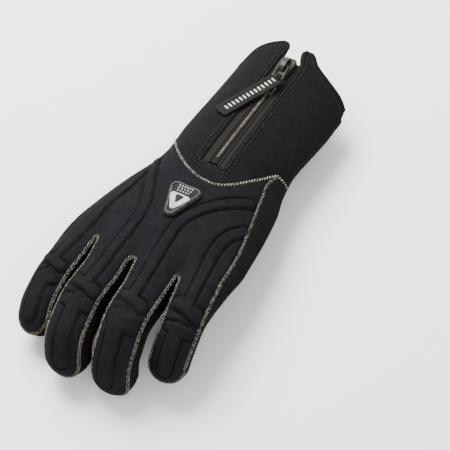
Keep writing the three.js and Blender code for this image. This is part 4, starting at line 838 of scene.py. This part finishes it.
# The cuff: a tube of thinner foam with a V-shaped lower edge, cut open on the back for the zip. Its
# upper edge has a horn on either side of the zip and is turned in and sewn down.
CUFF_WALL = 3.0
ZIP_CENTER, ZIP_WIDTH = 0.008 * HAND_WIDTH, 15.0
ZIP_BOTTOM = 0.12 * PALM_LENGTH
ZIP_EDGES = (ZIP_CENTER - ZIP_WIDTH / 2, ZIP_CENTER + ZIP_WIDTH / 2)
ZIP_COLUMN, ZIP_COLUMNS, CUFF_COLUMNS = 7, 3, 16
FIRST_SHARE = 0.115
HEM, HEM_RISE, HEM_DIP, HEM_ROLL = 6.0, 0.35, 0.35, 1.3
ZIP_SEAM, ZIP_SEAM_DIP, ZIP_ROLL = 3.4, 0.3, 0.8
# The upper edge on the back, from the thumb side over the two horns to the far side, across and along
EDGE = np.array([
    [-0.335, -0.900],
    [-0.325, -0.985],
    [-0.300, -1.030],
    [-0.250, -1.055],
    [-0.175, -1.075],
    [-0.110, -1.080],
    [-0.078, -1.050],
    [-0.058, -0.960],
    [0.060, -0.960],
    [0.072, -1.020],
    [0.094, -1.045],
    [0.122, -1.020],
    [0.148, -0.955],
    [0.190, -0.910],
    [0.330, -0.810],
    [0.425, -0.745],
])
HORN_LEAN = 6.0


def cuff_column(x, section):
    """Place across the back of the cuff at column x, even on either side of the zip"""
    rest = CUFF_COLUMNS - ZIP_COLUMN - ZIP_COLUMNS
    return np.select([x <= ZIP_COLUMN, x <= ZIP_COLUMN + ZIP_COLUMNS], [
        lerp(section.near, ZIP_EDGES[0], x / ZIP_COLUMN),
        lerp(ZIP_EDGES[0], ZIP_EDGES[1], (x - ZIP_COLUMN) / ZIP_COLUMNS),
    ], lerp(ZIP_EDGES[1], section.far, (x - ZIP_COLUMN - ZIP_COLUMNS) / rest))


def horn_lean(p, q):
    """How far the far horn leans over the end of the zip"""
    lean = HORN_LEAN * smooth((-q / CUFF_LENGTH - 0.86) / 0.14)
    return lean * smooth((p - ZIP_CENTER) / 5) * (1 - smooth((p - ZIP_CENTER) / 26))


def seam_point(x):
    """Where the cuff's column x meets the V seam"""
    start = cuff_column(x, section_at(0 * x))
    p = cuff_column(x, section_at(seam_at(start)))
    return p, seam_at(p)


def cuff_back(x, share):
    """Flat place on the cuff's back at column x, share 0 at the seam and 1 at the upper edge"""
    seam_p, seam_q = seam_point(x)
    top = curve(EDGE, 1, seam_p / HAND_WIDTH) * CUFF_LENGTH
    q = lerp(seam_q - TRIM, top, share)
    zip_q = np.where(share < FIRST_SHARE, lerp(seam_q - TRIM, ZIP_BOTTOM, share / FIRST_SHARE),
                     lerp(ZIP_BOTTOM, top, (share - FIRST_SHARE) / (1 - FIRST_SHARE)))
    middle = ZIP_COLUMN + ZIP_COLUMNS / 2
    near_zip = np.clip(ZIP_COLUMNS / 2 + 1 - np.abs(x - middle), 0, 1)
    q = lerp(q, zip_q, near_zip)
    p = cuff_column(x, section_at(q))
    return p - horn_lean(p, q), q, top


def cuff_shape(to_edge, to_zip, to_seam):
    """Height that the hem, the edges at the zip and the seam add to the cuff's outer face"""
    hem = HEM_RISE * smooth((HEM + 0.8 - to_edge) / 0.9) - HEM_DIP * swell(to_edge, HEM, 0.5)
    edge = edge_drop(to_edge, HEM_ROLL, 1.5) + edge_drop(to_zip, ZIP_ROLL, 1.4) + edge_drop(to_seam)
    return hem - edge - ZIP_SEAM_DIP * swell(to_zip, ZIP_SEAM, 0.7)


def cuff_points(face, x, share):
    """Outer and inner points of the cuff on its back, palm or a side"""
    if face == "back":
        p, q, top = cuff_back(x, share)
        at_zip = (x > ZIP_COLUMN - 0.01) & (x < ZIP_COLUMN + ZIP_COLUMNS + 0.01)
        to_zip = np.where(share >= FIRST_SHARE, np.where(
            at_zip, 0, np.minimum(np.abs(p - ZIP_EDGES[0]), np.abs(p - ZIP_EDGES[1]))), FAR)
        beside = np.hypot(np.maximum(np.abs(p - ZIP_CENTER) - ZIP_WIDTH / 2, 0),
                          np.maximum(q - ZIP_BOTTOM, 0))
        height = hand_heights(p, q)[0]
        shape = cuff_shape(np.abs(q - top), np.minimum(to_zip, beside), np.abs(seam_point(x)[1] - q))
        inset = CUFF_WALL * (1 - 2 * x / CUFF_COLUMNS) * ~at_zip
        return (bend_hand(p, q, height + shape), bend_hand(p + inset, q, height - CUFF_WALL), p, q)
    if face == "palm":
        across = x / CUFF_COLUMNS
        top = lerp(EDGE[0, 1], EDGE[-1, 1], across) * CUFF_LENGTH
        q = lerp(SEAM_SIDE - TRIM, top, share)
        section = section_at(q)
        p = lerp(section.near, section.far, across)
        height = hand_heights(p, q)[1]
        shape = cuff_shape(np.abs(q - top), FAR, np.abs(SEAM_SIDE - q))
        inset = CUFF_WALL * (1 - 2 * across)
        return (bend_hand(p, q, -height - shape), bend_hand(p + inset, q, CUFF_WALL - height), p, q)
    side = -1 if face == "near" else 1
    top = (EDGE[0, 1] if side < 0 else EDGE[-1, 1]) * CUFF_LENGTH
    q = lerp(SEAM_SIDE - TRIM, top, share)
    section = section_at(q)
    p, bulge = (section.near, section.near_bulge) if side < 0 else (section.far, section.far_bulge)
    back_height, palm_height = hand_heights(p, q)
    stand = bulge * (1 - x * x)
    shape = cuff_shape(np.abs(q - top), FAR, np.abs(SEAM_SIDE - q))
    level = lerp(-palm_height, back_height, (x + 1) / 2)
    inner_level = lerp(CUFF_WALL - palm_height, back_height - CUFF_WALL, (x + 1) / 2)
    return (bend_hand(p + side * (stand + shape), q, level),
            bend_hand(p + side * (stand - CUFF_WALL), q, inner_level), p + side * (x + 1) * 6, q + 0 * x)


# Finer steps lie beside the zip and under the hem, where the cloth is sewn down
ROWS_BELOW_ZIP, STEPS_BEFORE_ZIP, STEPS_AT_ZIP = 16, 55, 15
cuff_share = np.concatenate([np.linspace(0, FIRST_SHARE, ROWS_BELOW_ZIP + 1),
                             np.linspace(FIRST_SHARE, 1, 100)[1:-7], np.linspace(0.945, 1, 16)])[:, None]
stretches = [
    ("back", np.linspace(0, 6.4, 45)), ("back", np.linspace(6.4, 7, 12)[1:]),
    ("back", np.linspace(7, 10, 16)[1:]), ("back", np.linspace(10, 10.6, 10)[1:]),
    ("back", np.linspace(10.6, 16, 45)[1:]), ("far", np.linspace(1, -1, 16)[1:-1]),
    ("palm", np.linspace(16, 0, 70)), ("near", np.linspace(-1, 1, 16)[1:-1]),
]
blocks = [cuff_points(face, x[None, :] + 0 * cuff_share, cuff_share) for face, x in stretches]
shell = Shell(CUFF_WALL)
joined = [np.concatenate([block[k] for block in blocks], axis=1) for k in range(4)]
grid = shell.add(*joined)
grid = np.concatenate([grid, grid[:, :1]], axis=1)
is_open = np.zeros((grid.shape[0] - 1, grid.shape[1] - 1), bool)
is_open[ROWS_BELOW_ZIP:, STEPS_BEFORE_ZIP:STEPS_BEFORE_ZIP + STEPS_AT_ZIP] = True
shell.sheet(grid, ~is_open)
cuff_jersey = jersey("cuff jersey", (0.0038, 0.0039, 0.0046), (0.0088, 0.0090, 0.0103), knit=0.65)
cuff = shell.piece("cuff_tube", cuff_jersey)
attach(cuff, "root")
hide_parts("cuff")

# The seams: overlock stitching in grey and white thread joins the side strips to back and palm, and the
# thumb's panels. Two rows of slanted stitches lie on a bed of thread over the butted edges. One thicker
# row in pale thread joins the cuff to the hand.
SEAM_SINK = 0.25
BED_WIDTH, BED_HEIGHT, BED_SINK = 2.3, 1.0, 0.35
STITCH_AWAY, RING_LIFT = 0.62, 0.75


def thread(name, dark, light, scale, low=0.42, high=0.58):
    """Spun thread of two colours, which change from stitch to stitch"""
    material, tree, shader = new_material(name, 0.8, gloss=0.1)
    tint(tree, shader, noise(tree, scale, 2.0), low, high, dark, light)
    roughen(tree, shader, noise(tree, 4000.0, 2.0), 0.3, 0.0001)
    return material


def across_of(points, out):
    """Directions across a path, square to its 'out' directions"""
    return unit(np.cross(out, unit(np.gradient(points, axis=0))))


def band(name, paths, width, height, material, sides=10):
    """Closed flattened tubes along the paths"""
    points, faces, count = [], [], 0
    angle = np.arange(sides) * 2 * np.pi / sides
    for middle, out in paths:
        across = across_of(middle, out)
        ring = (middle[:, None] + across[:, None] * np.cos(angle)[None, :, None] * width / 2
                + out[:, None] * np.sin(angle)[None, :, None] * height / 2)
        points.append(ring.reshape(-1, 3))
        k = np.arange(sides)
        for row in range(len(middle) - 1):
            a, b = count + row * sides, count + (row + 1) * sides
            faces += np.stack([a + k, b + k, b + (k + 1) % sides, a + (k + 1) % sides], -1).tolist()
        last = count + (len(middle) - 1) * sides
        faces += [(count + k).tolist(), (last + k[::-1]).tolist()]
        count += len(middle) * sides
    points = np.concatenate(points)
    points[:, 2] = np.maximum(points[:, 2], 0.01)
    return cloth_piece(name, points, faces, points[:, :2], material, sharp=70)


def lane(path, shift, lift=0.0):
    """A path moved across by shift and out by lift"""
    points, out = path
    return points + across_of(points, out) * shift + out * lift, out


def strip_edge(f, face):
    """The line where a side strip meets the back or the palm, with its directions out"""
    rows = strip_rows[f.index]
    top = np.array([row[7 if face == "back" else 8] for row in rows])[:, None]
    sign = 1 if face == "back" else -1
    points = strip_place(f, rows, 0.1 + 0 * top, sign * (top - SEAM_SINK))[:, 0]
    inner = strip_place(f, rows, 1.6 + 0 * top, sign * (top - SEAM_SINK - 1.5))[:, 0]
    return points, unit(points - inner)


def thumb_edge():
    """The line round the thumb where its two panels meet"""
    s = np.concatenate([np.linspace(0.04, 1, 90), np.linspace(1, 2, 30)[1:]])
    line, inner = [], []
    for v in (-1.0, 1.0):
        for place, inset in ((line, 0.0), (inner, 2.0)):
            a, b, _, _ = thumb_place("upper", s, v + 0 * s, inset)
            p, q = thumb_to_flat(a, b)
            top = -hand_heights(p, q)[1] - LYING_GAP
            height = top - THUMB_SEAM * (bend_hand(p, q, top)[:, 2] + FLOOR_PRESS)
            place.append(bend_hand(p, q, height))
    line = np.concatenate([line[0], line[1][-2::-1]])
    inner = np.concatenate([inner[0], inner[1][-2::-1]])
    return line, unit(line - inner)


def cuff_ring():
    """The line round the glove where the cuff meets the hand"""
    parts = [("back", np.linspace(0, 16, 180)), ("far", np.linspace(1, -1, 14)[1:-1]),
             ("palm", np.linspace(16, 0, 110)), ("near", np.linspace(-1, 1, 14)[1:])]
    blocks = [cuff_points(face, x[None], 0.0 * x[None]) for face, x in parts]
    outer = np.concatenate([block[0][0] for block in blocks])
    inner = np.concatenate([block[1][0] for block in blocks])
    out = unit(outer - inner)
    return outer + RING_LIFT * out, out


grey_thread = thread("grey and white thread", (0.008, 0.007, 0.006), (0.27, 0.245, 0.20), 1000)
pale_thread = thread("pale thread", (0.09, 0.082, 0.07), (0.40, 0.375, 0.32), 900)
thread_bed = thread("thread bed", (0.006, 0.0055, 0.005), (0.03, 0.027, 0.023), 1500)
finger_seams = [strip_edge(f, face) for face in ("back", "palm") for f in FINGERS] + [thumb_edge()]
ring_seam = cuff_ring()
bed = band("seam_bed", [lane(path, 0, -BED_SINK) for path in finger_seams + [ring_seam]],
           BED_WIDTH, BED_HEIGHT, thread_bed)
rows = [
    set_along(f"finger_seam_stitches_{name}", thread_row,
              [lane(path, side * STITCH_AWAY) for path in finger_seams], grey_thread, seed=seed, jitter=7,
              step=1.45, length=1.8, width=0.58, height=0.7, lean=side * 46)
    for name, side, seed in (("left", 1, 11), ("right", -1, 12))]
rope = set_along("cuff_seam_stitches", thread_row, [ring_seam], pale_thread, seed=13, jitter=5,
                 step=2.1, length=2.5, width=0.85, height=0.9, lean=48)
for piece in (bed, *rows, rope):
    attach(piece, "root")

# Black thread holds the cuff's turned-in upper edge and the cloth on either side of the zip, in
# dense crossed stitches. Their lighter flecks are painted highlights on the black stitches.
PAST_EDGE, STITCH_FLOOR = 2.5, 0.2


def hem_line():
    """The line on which the upper edge is sewn down, round the glove from horn to horn"""
    parts = [("back", np.linspace(10.7, 16, 70)), ("far", np.linspace(1, -1, 12)[1:-1]),
             ("palm", np.linspace(16, 0, 110)), ("near", np.linspace(-1, 1, 12)[1:-1]),
             ("back", np.linspace(0, 6.3, 70))]
    points, out = [], []
    for face, x in parts:
        if face == "back":
            seam_p, seam_q = seam_point(x)
            top = curve(EDGE, 1, seam_p / HAND_WIDTH) * CUFF_LENGTH
        else:
            share = {"palm": x / CUFF_COLUMNS, "far": 1 + 0 * x, "near": 0 * x}[face]
            seam_q, top = SEAM_SIDE, lerp(EDGE[0, 1], EDGE[-1, 1], share) * CUFF_LENGTH
        outer, inner, _, _ = cuff_points(face, x[None], (1 - HEM / (seam_q - top))[None])
        points.append(outer[0])
        out.append(unit(outer[0] - inner[0]))
    points, out = np.concatenate(points), np.concatenate(out)
    points[:, 2] = np.maximum(points[:, 2], STITCH_FLOOR)
    return points, out


def on_back(p, q):
    """A path on the glove's back through p and q, with its directions up from it"""
    point, out = with_normals(
        lambda dp, dq: bend_hand(p + dp, q + dq, hand_heights(p + dp, q + dq)[0]))
    return point, out * np.sign(out[:, 2:3])


def beside_zip(offset):
    """Down one side of the zip opening, round its end and up the other side"""
    left, right = ZIP_EDGES[0] - offset, ZIP_EDGES[1] + offset
    low, corner = ZIP_BOTTOM + offset, 3.0
    turn = np.linspace(0, np.pi / 2, 8)
    top_left, top_right = (curve(EDGE, 1, np.array([p / HAND_WIDTH])) * CUFF_LENGTH + PAST_EDGE
                           for p in (left, right))
    q = np.linspace(top_left[0], low - corner, 120)
    p = np.concatenate([left + 0 * q, left + corner * (1 - np.cos(turn)),
                        right - corner * (1 - np.cos(turn[::-1])), right + 0 * q])
    back_q = np.linspace(low - corner, top_right[0], 120)
    q = np.concatenate([q, low - corner * (1 - np.sin(turn)), low - corner * (1 - np.sin(turn[::-1])),
                        back_q])
    p = p - horn_lean(p, q)
    return on_back(p, q)


# The lighter of the black thread's two colours is painted highlight on its raised stitches
black_thread = thread("black thread", (0.004, 0.004, 0.004), (0.034, 0.031, 0.028), 1300, 0.42, 0.72)
hem_paths = [lane(hem_line(), shift, -0.15) for shift in (-0.75, 0.75)]
zip_paths = [beside_zip(offset) for offset in (1.7, 3.9)]
for number, lean in ((0, 48), (1, -48)):
    hem = set_along(f"cuff_hem_stitches_{number}", thread_row, hem_paths, black_thread, seed=22 + number,
                    jitter=8, step=1.8, length=2.3, width=0.62, height=0.65, lean=lean)
    cross = set_along(f"cuff_cross_stitches_{number}", thread_row, zip_paths, black_thread,
                      seed=20 + number, jitter=8, step=2.1, length=3.1, width=0.85, height=1.25,
                      lean=lean)
    for piece in (hem, cross):
        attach(piece, "root")

# The zip: two woven tapes with a rolled edge, sewn into the opening, and a closed chain of moulded
# teeth between them. A folded end of tape stops it at the wrist. Slider and link are cast in metal.
CHAIN_WIDTH = 4.6
ZIP_TOP = -0.895 * CUFF_LENGTH
TAPE_SINK, TAPE_THICKNESS, ROLL_HEIGHT, ROLL_DIP = 0.9, 1.4, 0.75, 0.25


def tape_cloth(name):
    """Woven polyester tape: brown-black with fine ribs along it"""
    material, tree, shader = new_material(name, 0.8, gloss=0.15)
    flat = node(tree, "ShaderNodeUVMap", uv_map="flat").outputs["UV"]
    weave = node(tree, "ShaderNodeTexWave", {"Vector": flat, "Scale": 420.0, "Distortion": 0.6,
                 "Detail": 1.0})
    cross = node(tree, "ShaderNodeTexWave", {"Vector": flat, "Scale": 330.0, "Distortion": 0.8},
                 bands_direction="Y")
    both = calc(tree, "MULTIPLY", weave.outputs["Fac"], cross.outputs["Fac"])
    tint(tree, shader, both, 0, 1, (0.005, 0.0042, 0.0037), (0.018, 0.0145, 0.012))
    roughen(tree, shader, both, 0.5, 0.0003)
    return material


tape_material = tape_cloth("zip tape")
for name, node_name, side in (("zip_tape_near_thumb", "zip_tape_thumb_side", -1),
                              ("zip_tape_far", "zip_tape_far_side", 1)):
    q = np.linspace(ZIP_BOTTOM - SEAM_GAP, ZIP_TOP, 150)[:, None]
    span = (ZIP_WIDTH - CHAIN_WIDTH) / 2 - 2 * SEAM_GAP
    away = np.linspace(0, span, 16)[None, :]
    p = ZIP_CENTER + side * (CHAIN_WIDTH / 2 + SEAM_GAP + away) + 0 * q
    q = q + 0 * p
    height = hand_heights(p, q)[0]
    roll = ROLL_HEIGHT * swell(away, 0.9, 0.8) - ROLL_DIP * swell(away, 2.4, 0.6)
    shell = Shell(TAPE_THICKNESS)
    shell.sheet(shell.add(bend_hand(p, q, height - TAPE_SINK + roll),
                          bend_hand(p, q, height - TAPE_SINK - TAPE_THICKNESS), p, q))
    tape = shell.piece(name, tape_material)
    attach(tape, "root")
    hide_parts(node_name)

TOOTH_STEP, TEETH_START = 1.7, 6.0
CHAIN_SINK, CORD_AWAY, CORD_WIDTH = 1.0, 1.55, 1.5


def zip_line(shift, start):
    """The middle line of the zip, moved across by shift and begun further up by start"""
    q = np.linspace(ZIP_BOTTOM - 1.0 - start, ZIP_TOP + 0.5, 160)
    return on_back(ZIP_CENTER + shift + 0 * q, q)


def plastic(name, colour, worn, roughness, metallic=0.0, gloss=0.15):
    """Moulded plastic, rubber or cast metal: clouded colour, worn lighter, and a fine grain"""
    material, tree, shader = new_material(name, roughness, metallic, gloss=gloss)
    tint(tree, shader, noise(tree, 350.0, 4.0), 0.35, 0.7, colour, worn)
    roughen(tree, shader, noise(tree, 2100.0, 3.0), 0.3, 0.00008)
    return material


tooth_row = row_tree("Row of teeth", "block")
tooth_material = plastic("zip teeth", (0.10, 0.095, 0.08), (0.26, 0.24, 0.21), 0.4, 0.2)
for number, (shift, start) in enumerate(((-0.35, 0.0), (0.35, TOOTH_STEP / 2))):
    path = zip_line(shift, TEETH_START + start)
    teeth = set_along(f"zip_teeth_{number}", tooth_row, [lane(path, 0, -CHAIN_SINK)], tooth_material,
                      seed=30, step=TOOTH_STEP, length=0.9, width=1.0, height=1.5)
    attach(teeth, "root")
    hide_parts("zip_chain")
cords = band("zip_tape_cords", [lane(zip_line(side * CORD_AWAY, 0), 0, -CHAIN_SINK) for side in (-1, 1)],
             CORD_WIDTH, CORD_WIDTH, tape_material)
stop_q = np.linspace(ZIP_BOTTOM - 0.8, ZIP_BOTTOM - 8.5, 12)
stop = on_back(ZIP_CENTER + 0 * stop_q, stop_q)
zip_stop = band("zip_end_stop", [lane(stop, 0, -1.1)], width=2.6, height=1.5, material=tape_material)
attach(zip_stop, "root")
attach(cords, "root")
gunmetal = plastic("gunmetal", (0.012, 0.012, 0.008), (0.038, 0.038, 0.027), 0.4, gloss=0.2)
for node_name in ("zip_slider", "zip_pull_link"):
    hard = bpy.data.objects[node_name]
    for slot in hard.material_slots:
        slot.material = gunmetal

# The slider's pull: a moulded rubber tab looped round the metal link's end. It lies back over the
# cuff, with a row of short raised bars on it for grip.
SLIDER_AT, SLIDER_HEIGHT = -0.815 * CUFF_LENGTH, 2.8
LINK_LENGTH, LINK_END, LINK_THICKNESS, LINK_START = 15.0, 3.0, 1.3, -1.0
LINK_LIFT, LINK_TURN = SLIDER_HEIGHT + 0.6, 5.0
LINK_LOW = LINK_START - LINK_LENGTH
TAB_WIDTH, TAB_THICKNESS, TAB_LENGTH, TAB_EDGE = 10.5, 2.2, 41.8, 0.55
TAB_BORDER, TAB_FIELD = 1.5, 0.35
# The strap's route from the link's end, across and along as shares of its length, and its lift
TAB_ROUTE = np.array([
    [0.032, 0.000, 3.6],
    [-0.010, 0.102, 3.0],
    [-0.100, 0.303, 1.8],
    [-0.232, 0.584, 1.0],
    [-0.405, 1.000, 1.0],
])


def place_on(p, q, lift, turn):
    """A turned frame on the glove's back: across, toward the cuff's end, and out; and its place"""
    reach = 0.03 * HAND_WIDTH
    over = lambda at_p, at_q: bend_hand(at_p, at_q, hand_heights(at_p, at_q)[0] + lift)
    p, q = np.array(p), np.array(q)
    origin = over(p, q)
    ahead = unit(over(p, q - reach) - origin)
    out = unit(np.cross(over(p + reach, q) - origin, ahead))
    across = unit(np.cross(ahead, out))
    cos, sin = np.cos(np.radians(turn)), np.sin(np.radians(turn))
    return np.array([across * cos + ahead * sin, ahead * cos - across * sin, out]), origin


def grid_piece(name, rows, material, closed_ends=True, sharp=50):
    """A closed mesh from rings of points, one after the other"""
    count, sides = len(rows), len(rows[0])
    k = np.arange(sides)
    faces = []
    for row in range(count - 1):
        a, b = row * sides, (row + 1) * sides
        faces += np.stack([a + k, a + (k + 1) % sides, b + (k + 1) % sides, b + k], -1).tolist()
    if closed_ends:
        last = (count - 1) * sides
        faces += [k[::-1].tolist(), (last + k).tolist()]
    points = np.concatenate(rows)
    piece = cloth_piece(name, points, faces, points[:, :2], material, sharp)
    mesh = bmesh.new()
    mesh.from_mesh(piece.data)
    bmesh.ops.recalc_face_normals(mesh, faces=mesh.faces)
    mesh.to_mesh(piece.data)
    mesh.free()
    return piece


t = np.linspace(0, len(TAB_ROUTE) - 1, 60)
route = np.column_stack([np.arange(len(TAB_ROUTE)), TAB_ROUTE * [TAB_LENGTH, TAB_LENGTH, 1]])
tab_p = ZIP_CENTER + curve(route, 1, t)
tab_q = SLIDER_AT - LINK_LOW + 0.5 + curve(route, 2, t)
tab_lift = hand_heights(tab_p, tab_q)[0] + curve(route, 3, t)
way = unit(np.column_stack([np.gradient(tab_p), np.gradient(tab_q)]))
half, high, soft, field = TAB_WIDTH / 2, TAB_THICKNESS, TAB_EDGE, TAB_THICKNESS - TAB_FIELD
right_side = [(half - TAB_BORDER - 0.4, field), (half - TAB_BORDER, high), (half - soft, high),
              (half - 0.3 * soft, high - 0.3 * soft), (half, high - soft), (half, soft), (half - soft, 0)]
profile = [(-x, y) for x, y in right_side[-2::-1]] + right_side + [(soft - half, 0)]
rings = []
ends = [(0, 0.9, -0.5)] + [(k, 1.0, 0.0) for k in range(len(t))] + [(len(t) - 1, 0.93, 0.5)]
for k, scale, shift in ends:
    at_p, at_q = tab_p[k] + way[k, 0] * shift, tab_q[k] + way[k, 1] * shift
    rings.append(np.array([bend_hand(at_p - x * scale * way[k, 1], at_q + x * scale * way[k, 0],
                                     tab_lift[k] + high / 2 + (y - high / 2) * scale)
                           for x, y in profile]))
pull_rubber = plastic("pull rubber", (0.006, 0.0063, 0.005), (0.012, 0.0125, 0.010), 0.6, gloss=0.06)
tab = grid_piece("zip_pull_strap", rings, pull_rubber)
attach(tab, "root")
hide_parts("zip_pull_tab")

axes, origin = place_on(ZIP_CENTER, SLIDER_AT, SEAM_GAP, LINK_TURN)
bar_y, bar_z = LINK_LOW + LINK_END / 2, LINK_LIFT + LINK_THICKNESS / 2
turns = np.linspace(0, 2 * np.pi, 28)[:-1]
loops = []
for x, inner_scale, outer_scale in ((-2.5, 1, 0.9), (-2.3, 1, 1), (2.3, 1, 1), (2.5, 1, 0.9)):
    for gap, scale in ((0.3, inner_scale), (1.4, outer_scale)):
        y = np.sign(np.cos(turns)) * (LINK_END - LINK_THICKNESS) / 2 + np.cos(turns) * (
            LINK_THICKNESS / 2 + gap) * scale
        z = np.sin(turns) * (LINK_THICKNESS / 2 + gap) * scale
        loops.append(origin + x * axes[0] + (bar_y + y)[:, None] * axes[1] + (bar_z + z)[:, None] * axes[2])
# Outer rings from one side of the strap to the other, and back along the inner ones
order = [0, 1, 3, 5, 7, 6, 4, 2, 0]
loop = grid_piece("zip_pull_loop", [loops[k] for k in order], pull_rubber, closed_ends=False)
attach(loop, "root")
marked = slice(7, 56)
marks_path = bend_hand(tab_p[marked], tab_q[marked], tab_lift[marked] + field)
marks_out = unit(marks_path - bend_hand(tab_p[marked], tab_q[marked], tab_lift[marked]))
mark_material = silicone("grey pull print", (0.60, 0.60, 0.57))
marks = set_along("zip_pull_grip_bars", tooth_row, [(marks_path, marks_out)], mark_material, seed=31,
                  step=2.9, length=1.3, width=4.4, height=0.7)
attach(marks, "root")

# The badge: a rounded triangle of moulded rubber glued to the back, its point toward the fingers. A
# pewter rim frames a dark plate, with rows of small pale bars above a plain raised shield.
BADGE_WIDTH, BADGE_LENGTH, BADGE_CORNER, BADGE_HEAD = 22.0, 27.0, 4.4, 0.42
badge_axes, badge_origin = place_on(-0.025 * HAND_WIDTH, 0.49 * PALM_LENGTH, SEAM_GAP, -2)


def badge_outline(inset, width=BADGE_WIDTH, length=BADGE_LENGTH, corner=BADGE_CORNER,
                  head=BADGE_HEAD * BADGE_LENGTH):
    """Points round a rounded triangle, moved in by inset"""
    radius = max(corner - inset, 0.15)
    half, top = width / 2 - corner, head - corner
    corners = np.array([(-half, top), (0, top - length + 2 * corner), (half, top)])
    points = []
    for k in range(3):
        before, here, after = corners[k - 1], corners[k], corners[(k + 1) % 3]
        into = np.arctan2(*(here - before)[::-1]) - np.pi / 2
        out = np.arctan2(*(after - here)[::-1]) - np.pi / 2
        out = into + (out - into) % (2 * np.pi)
        angle = np.linspace(into, out, 12)
        points.append(here + radius * np.column_stack([np.cos(angle), np.sin(angle)]))
    return np.concatenate(points)


def badge_piece(name, rings, material, **shape):
    """A low closed form on the badge, from rows of (inset, height)"""
    rows = []
    for inset, height in rings:
        flat = badge_outline(inset, **shape)
        rows.append(badge_origin + flat @ badge_axes[:2] + height * badge_axes[2])
    return grid_piece(name, rows, material, sharp=35)


black_rubber = plastic("badge base rubber", (0.010, 0.010, 0.010), (0.022, 0.022, 0.021), 0.6, gloss=0.05)
pewter = plastic("badge pewter", (0.026, 0.026, 0.021), (0.055, 0.054, 0.045), 0.45, 0.1)
pale = plastic("badge inset", (0.22, 0.215, 0.195), (0.42, 0.41, 0.375), 0.42, 0.1)
base = badge_piece("badge_skirt", [(0.1, -0.2), (-0.3, 0.1), (-0.3, 1.0), (0.1, 1.5), (0.9, 1.5)],
                   black_rubber)
rim = badge_piece("badge_rim", [(0.7, 0.1), (0.55, 1.5), (0.8, 2.15), (1.2, 2.4), (1.8, 2.4), (2.1, 2.2),
                                (2.2, 1.45)], pewter)
face = badge_piece("badge_plate", [(2.25, 1.5), (2.4, 1.85), (2.65, 1.9)], black_rubber)
shield = badge_piece("badge_shield", [(0.0, 1.7), (0.1, 2.25), (0.5, 2.45), (0.9, 2.4)], pale,
                     width=14.0, length=13.0, corner=2.2, head=2.2)
inlay = badge_piece("badge_shield_inlay", [(0.0, 2.3), (0.1, 2.5), (0.4, 2.55)], black_rubber,
                    width=5.4, length=6.4, corner=1.0, head=1.0)
BAR_SPANS, FIRST_BARS, BAR_ROW, BAR_LIFT = (9.2, 8.6, 7.8), 8.3, 2.05, 2.05
bars = []
for row, span in enumerate(BAR_SPANS):
    x = np.linspace(-span / 2, span / 2, 30)
    flat = np.column_stack([x, FIRST_BARS - BAR_ROW * row + 0 * x])
    bars.append((badge_origin + flat @ badge_axes[:2] + BAR_LIFT * badge_axes[2],
                 0 * flat[:, :1] + badge_axes[2]))
raised = set_along("badge_bars", tooth_row, bars, pale, seed=32, step=1.75, length=1.15, width=1.3,
                   height=0.7)
for piece, node_name in ((base, None), (rim, "badge_base"), (face, "badge_inset"), (shield, None),
                         (inlay, None), (raised, None)):
    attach(piece, "root")
    if node_name:
        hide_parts(node_name)

# The studio: a plain pale floor, one large soft light from the upper left with a weak one opposite,
# and the camera at the photograph's angle.
AIM = np.array([27.02, -4.51, 22.0]) / 1000
AZIMUTH, ELEVATION, DISTANCE = np.radians(28.52), np.radians(54.62), 0.9
floor_mesh = bpy.data.meshes.new("floor")
floor_mesh.from_pydata([(-4, -4, 0), (4, -4, 0), (4, 4, 0), (-4, 4, 0)], [], [(0, 1, 2, 3)])
floor = bpy.data.objects.new("floor", floor_mesh)
bpy.context.collection.objects.link(floor)
paper, _, paper_shader = new_material("paper", 0.9)
paper_shader.inputs["Base Color"].default_value = (0.95, 0.95, 0.945, 1)
floor_mesh.materials.append(paper)
world = bpy.data.worlds.new("studio")
world.use_nodes = True
world.node_tree.nodes["Background"].inputs["Color"].default_value = (1, 1, 1, 1)
world.node_tree.nodes["Background"].inputs["Strength"].default_value = 1.1
bpy.context.scene.world = world


def soft_light(name, place, target, size, power):
    """A large round lamp at a place, turned to its target"""
    light = bpy.data.lights.new(name, "AREA")
    light.shape, light.size, light.energy = "DISK", size, power
    lamp = bpy.data.objects.new(name, light)
    bpy.context.collection.objects.link(lamp)
    lamp.location = place
    lamp.rotation_mode = "QUATERNION"
    lamp.rotation_quaternion = (Vector(target) - Vector(place)).to_track_quat("-Z", "Y")


soft_light("key", (-0.55, 0.35, 0.95), (0, 0, 0), size=0.8, power=40)
soft_light("fill", (0.7, -0.8, 0.8), (0, 0, 0), size=0.9, power=6)

lens = bpy.data.cameras.new("camera")
lens.lens, lens.sensor_width = 111.0, 36
camera = bpy.data.objects.new("camera", lens)
bpy.context.collection.objects.link(camera)
away = Vector((np.sin(AZIMUTH) * np.cos(ELEVATION), -np.cos(AZIMUTH) * np.cos(ELEVATION),
               np.sin(ELEVATION)))
camera.location = Vector(AIM) + DISTANCE * away
camera.rotation_mode = "QUATERNION"
camera.rotation_quaternion = away.to_track_quat("Z", "Y")
bpy.context.scene.camera = camera
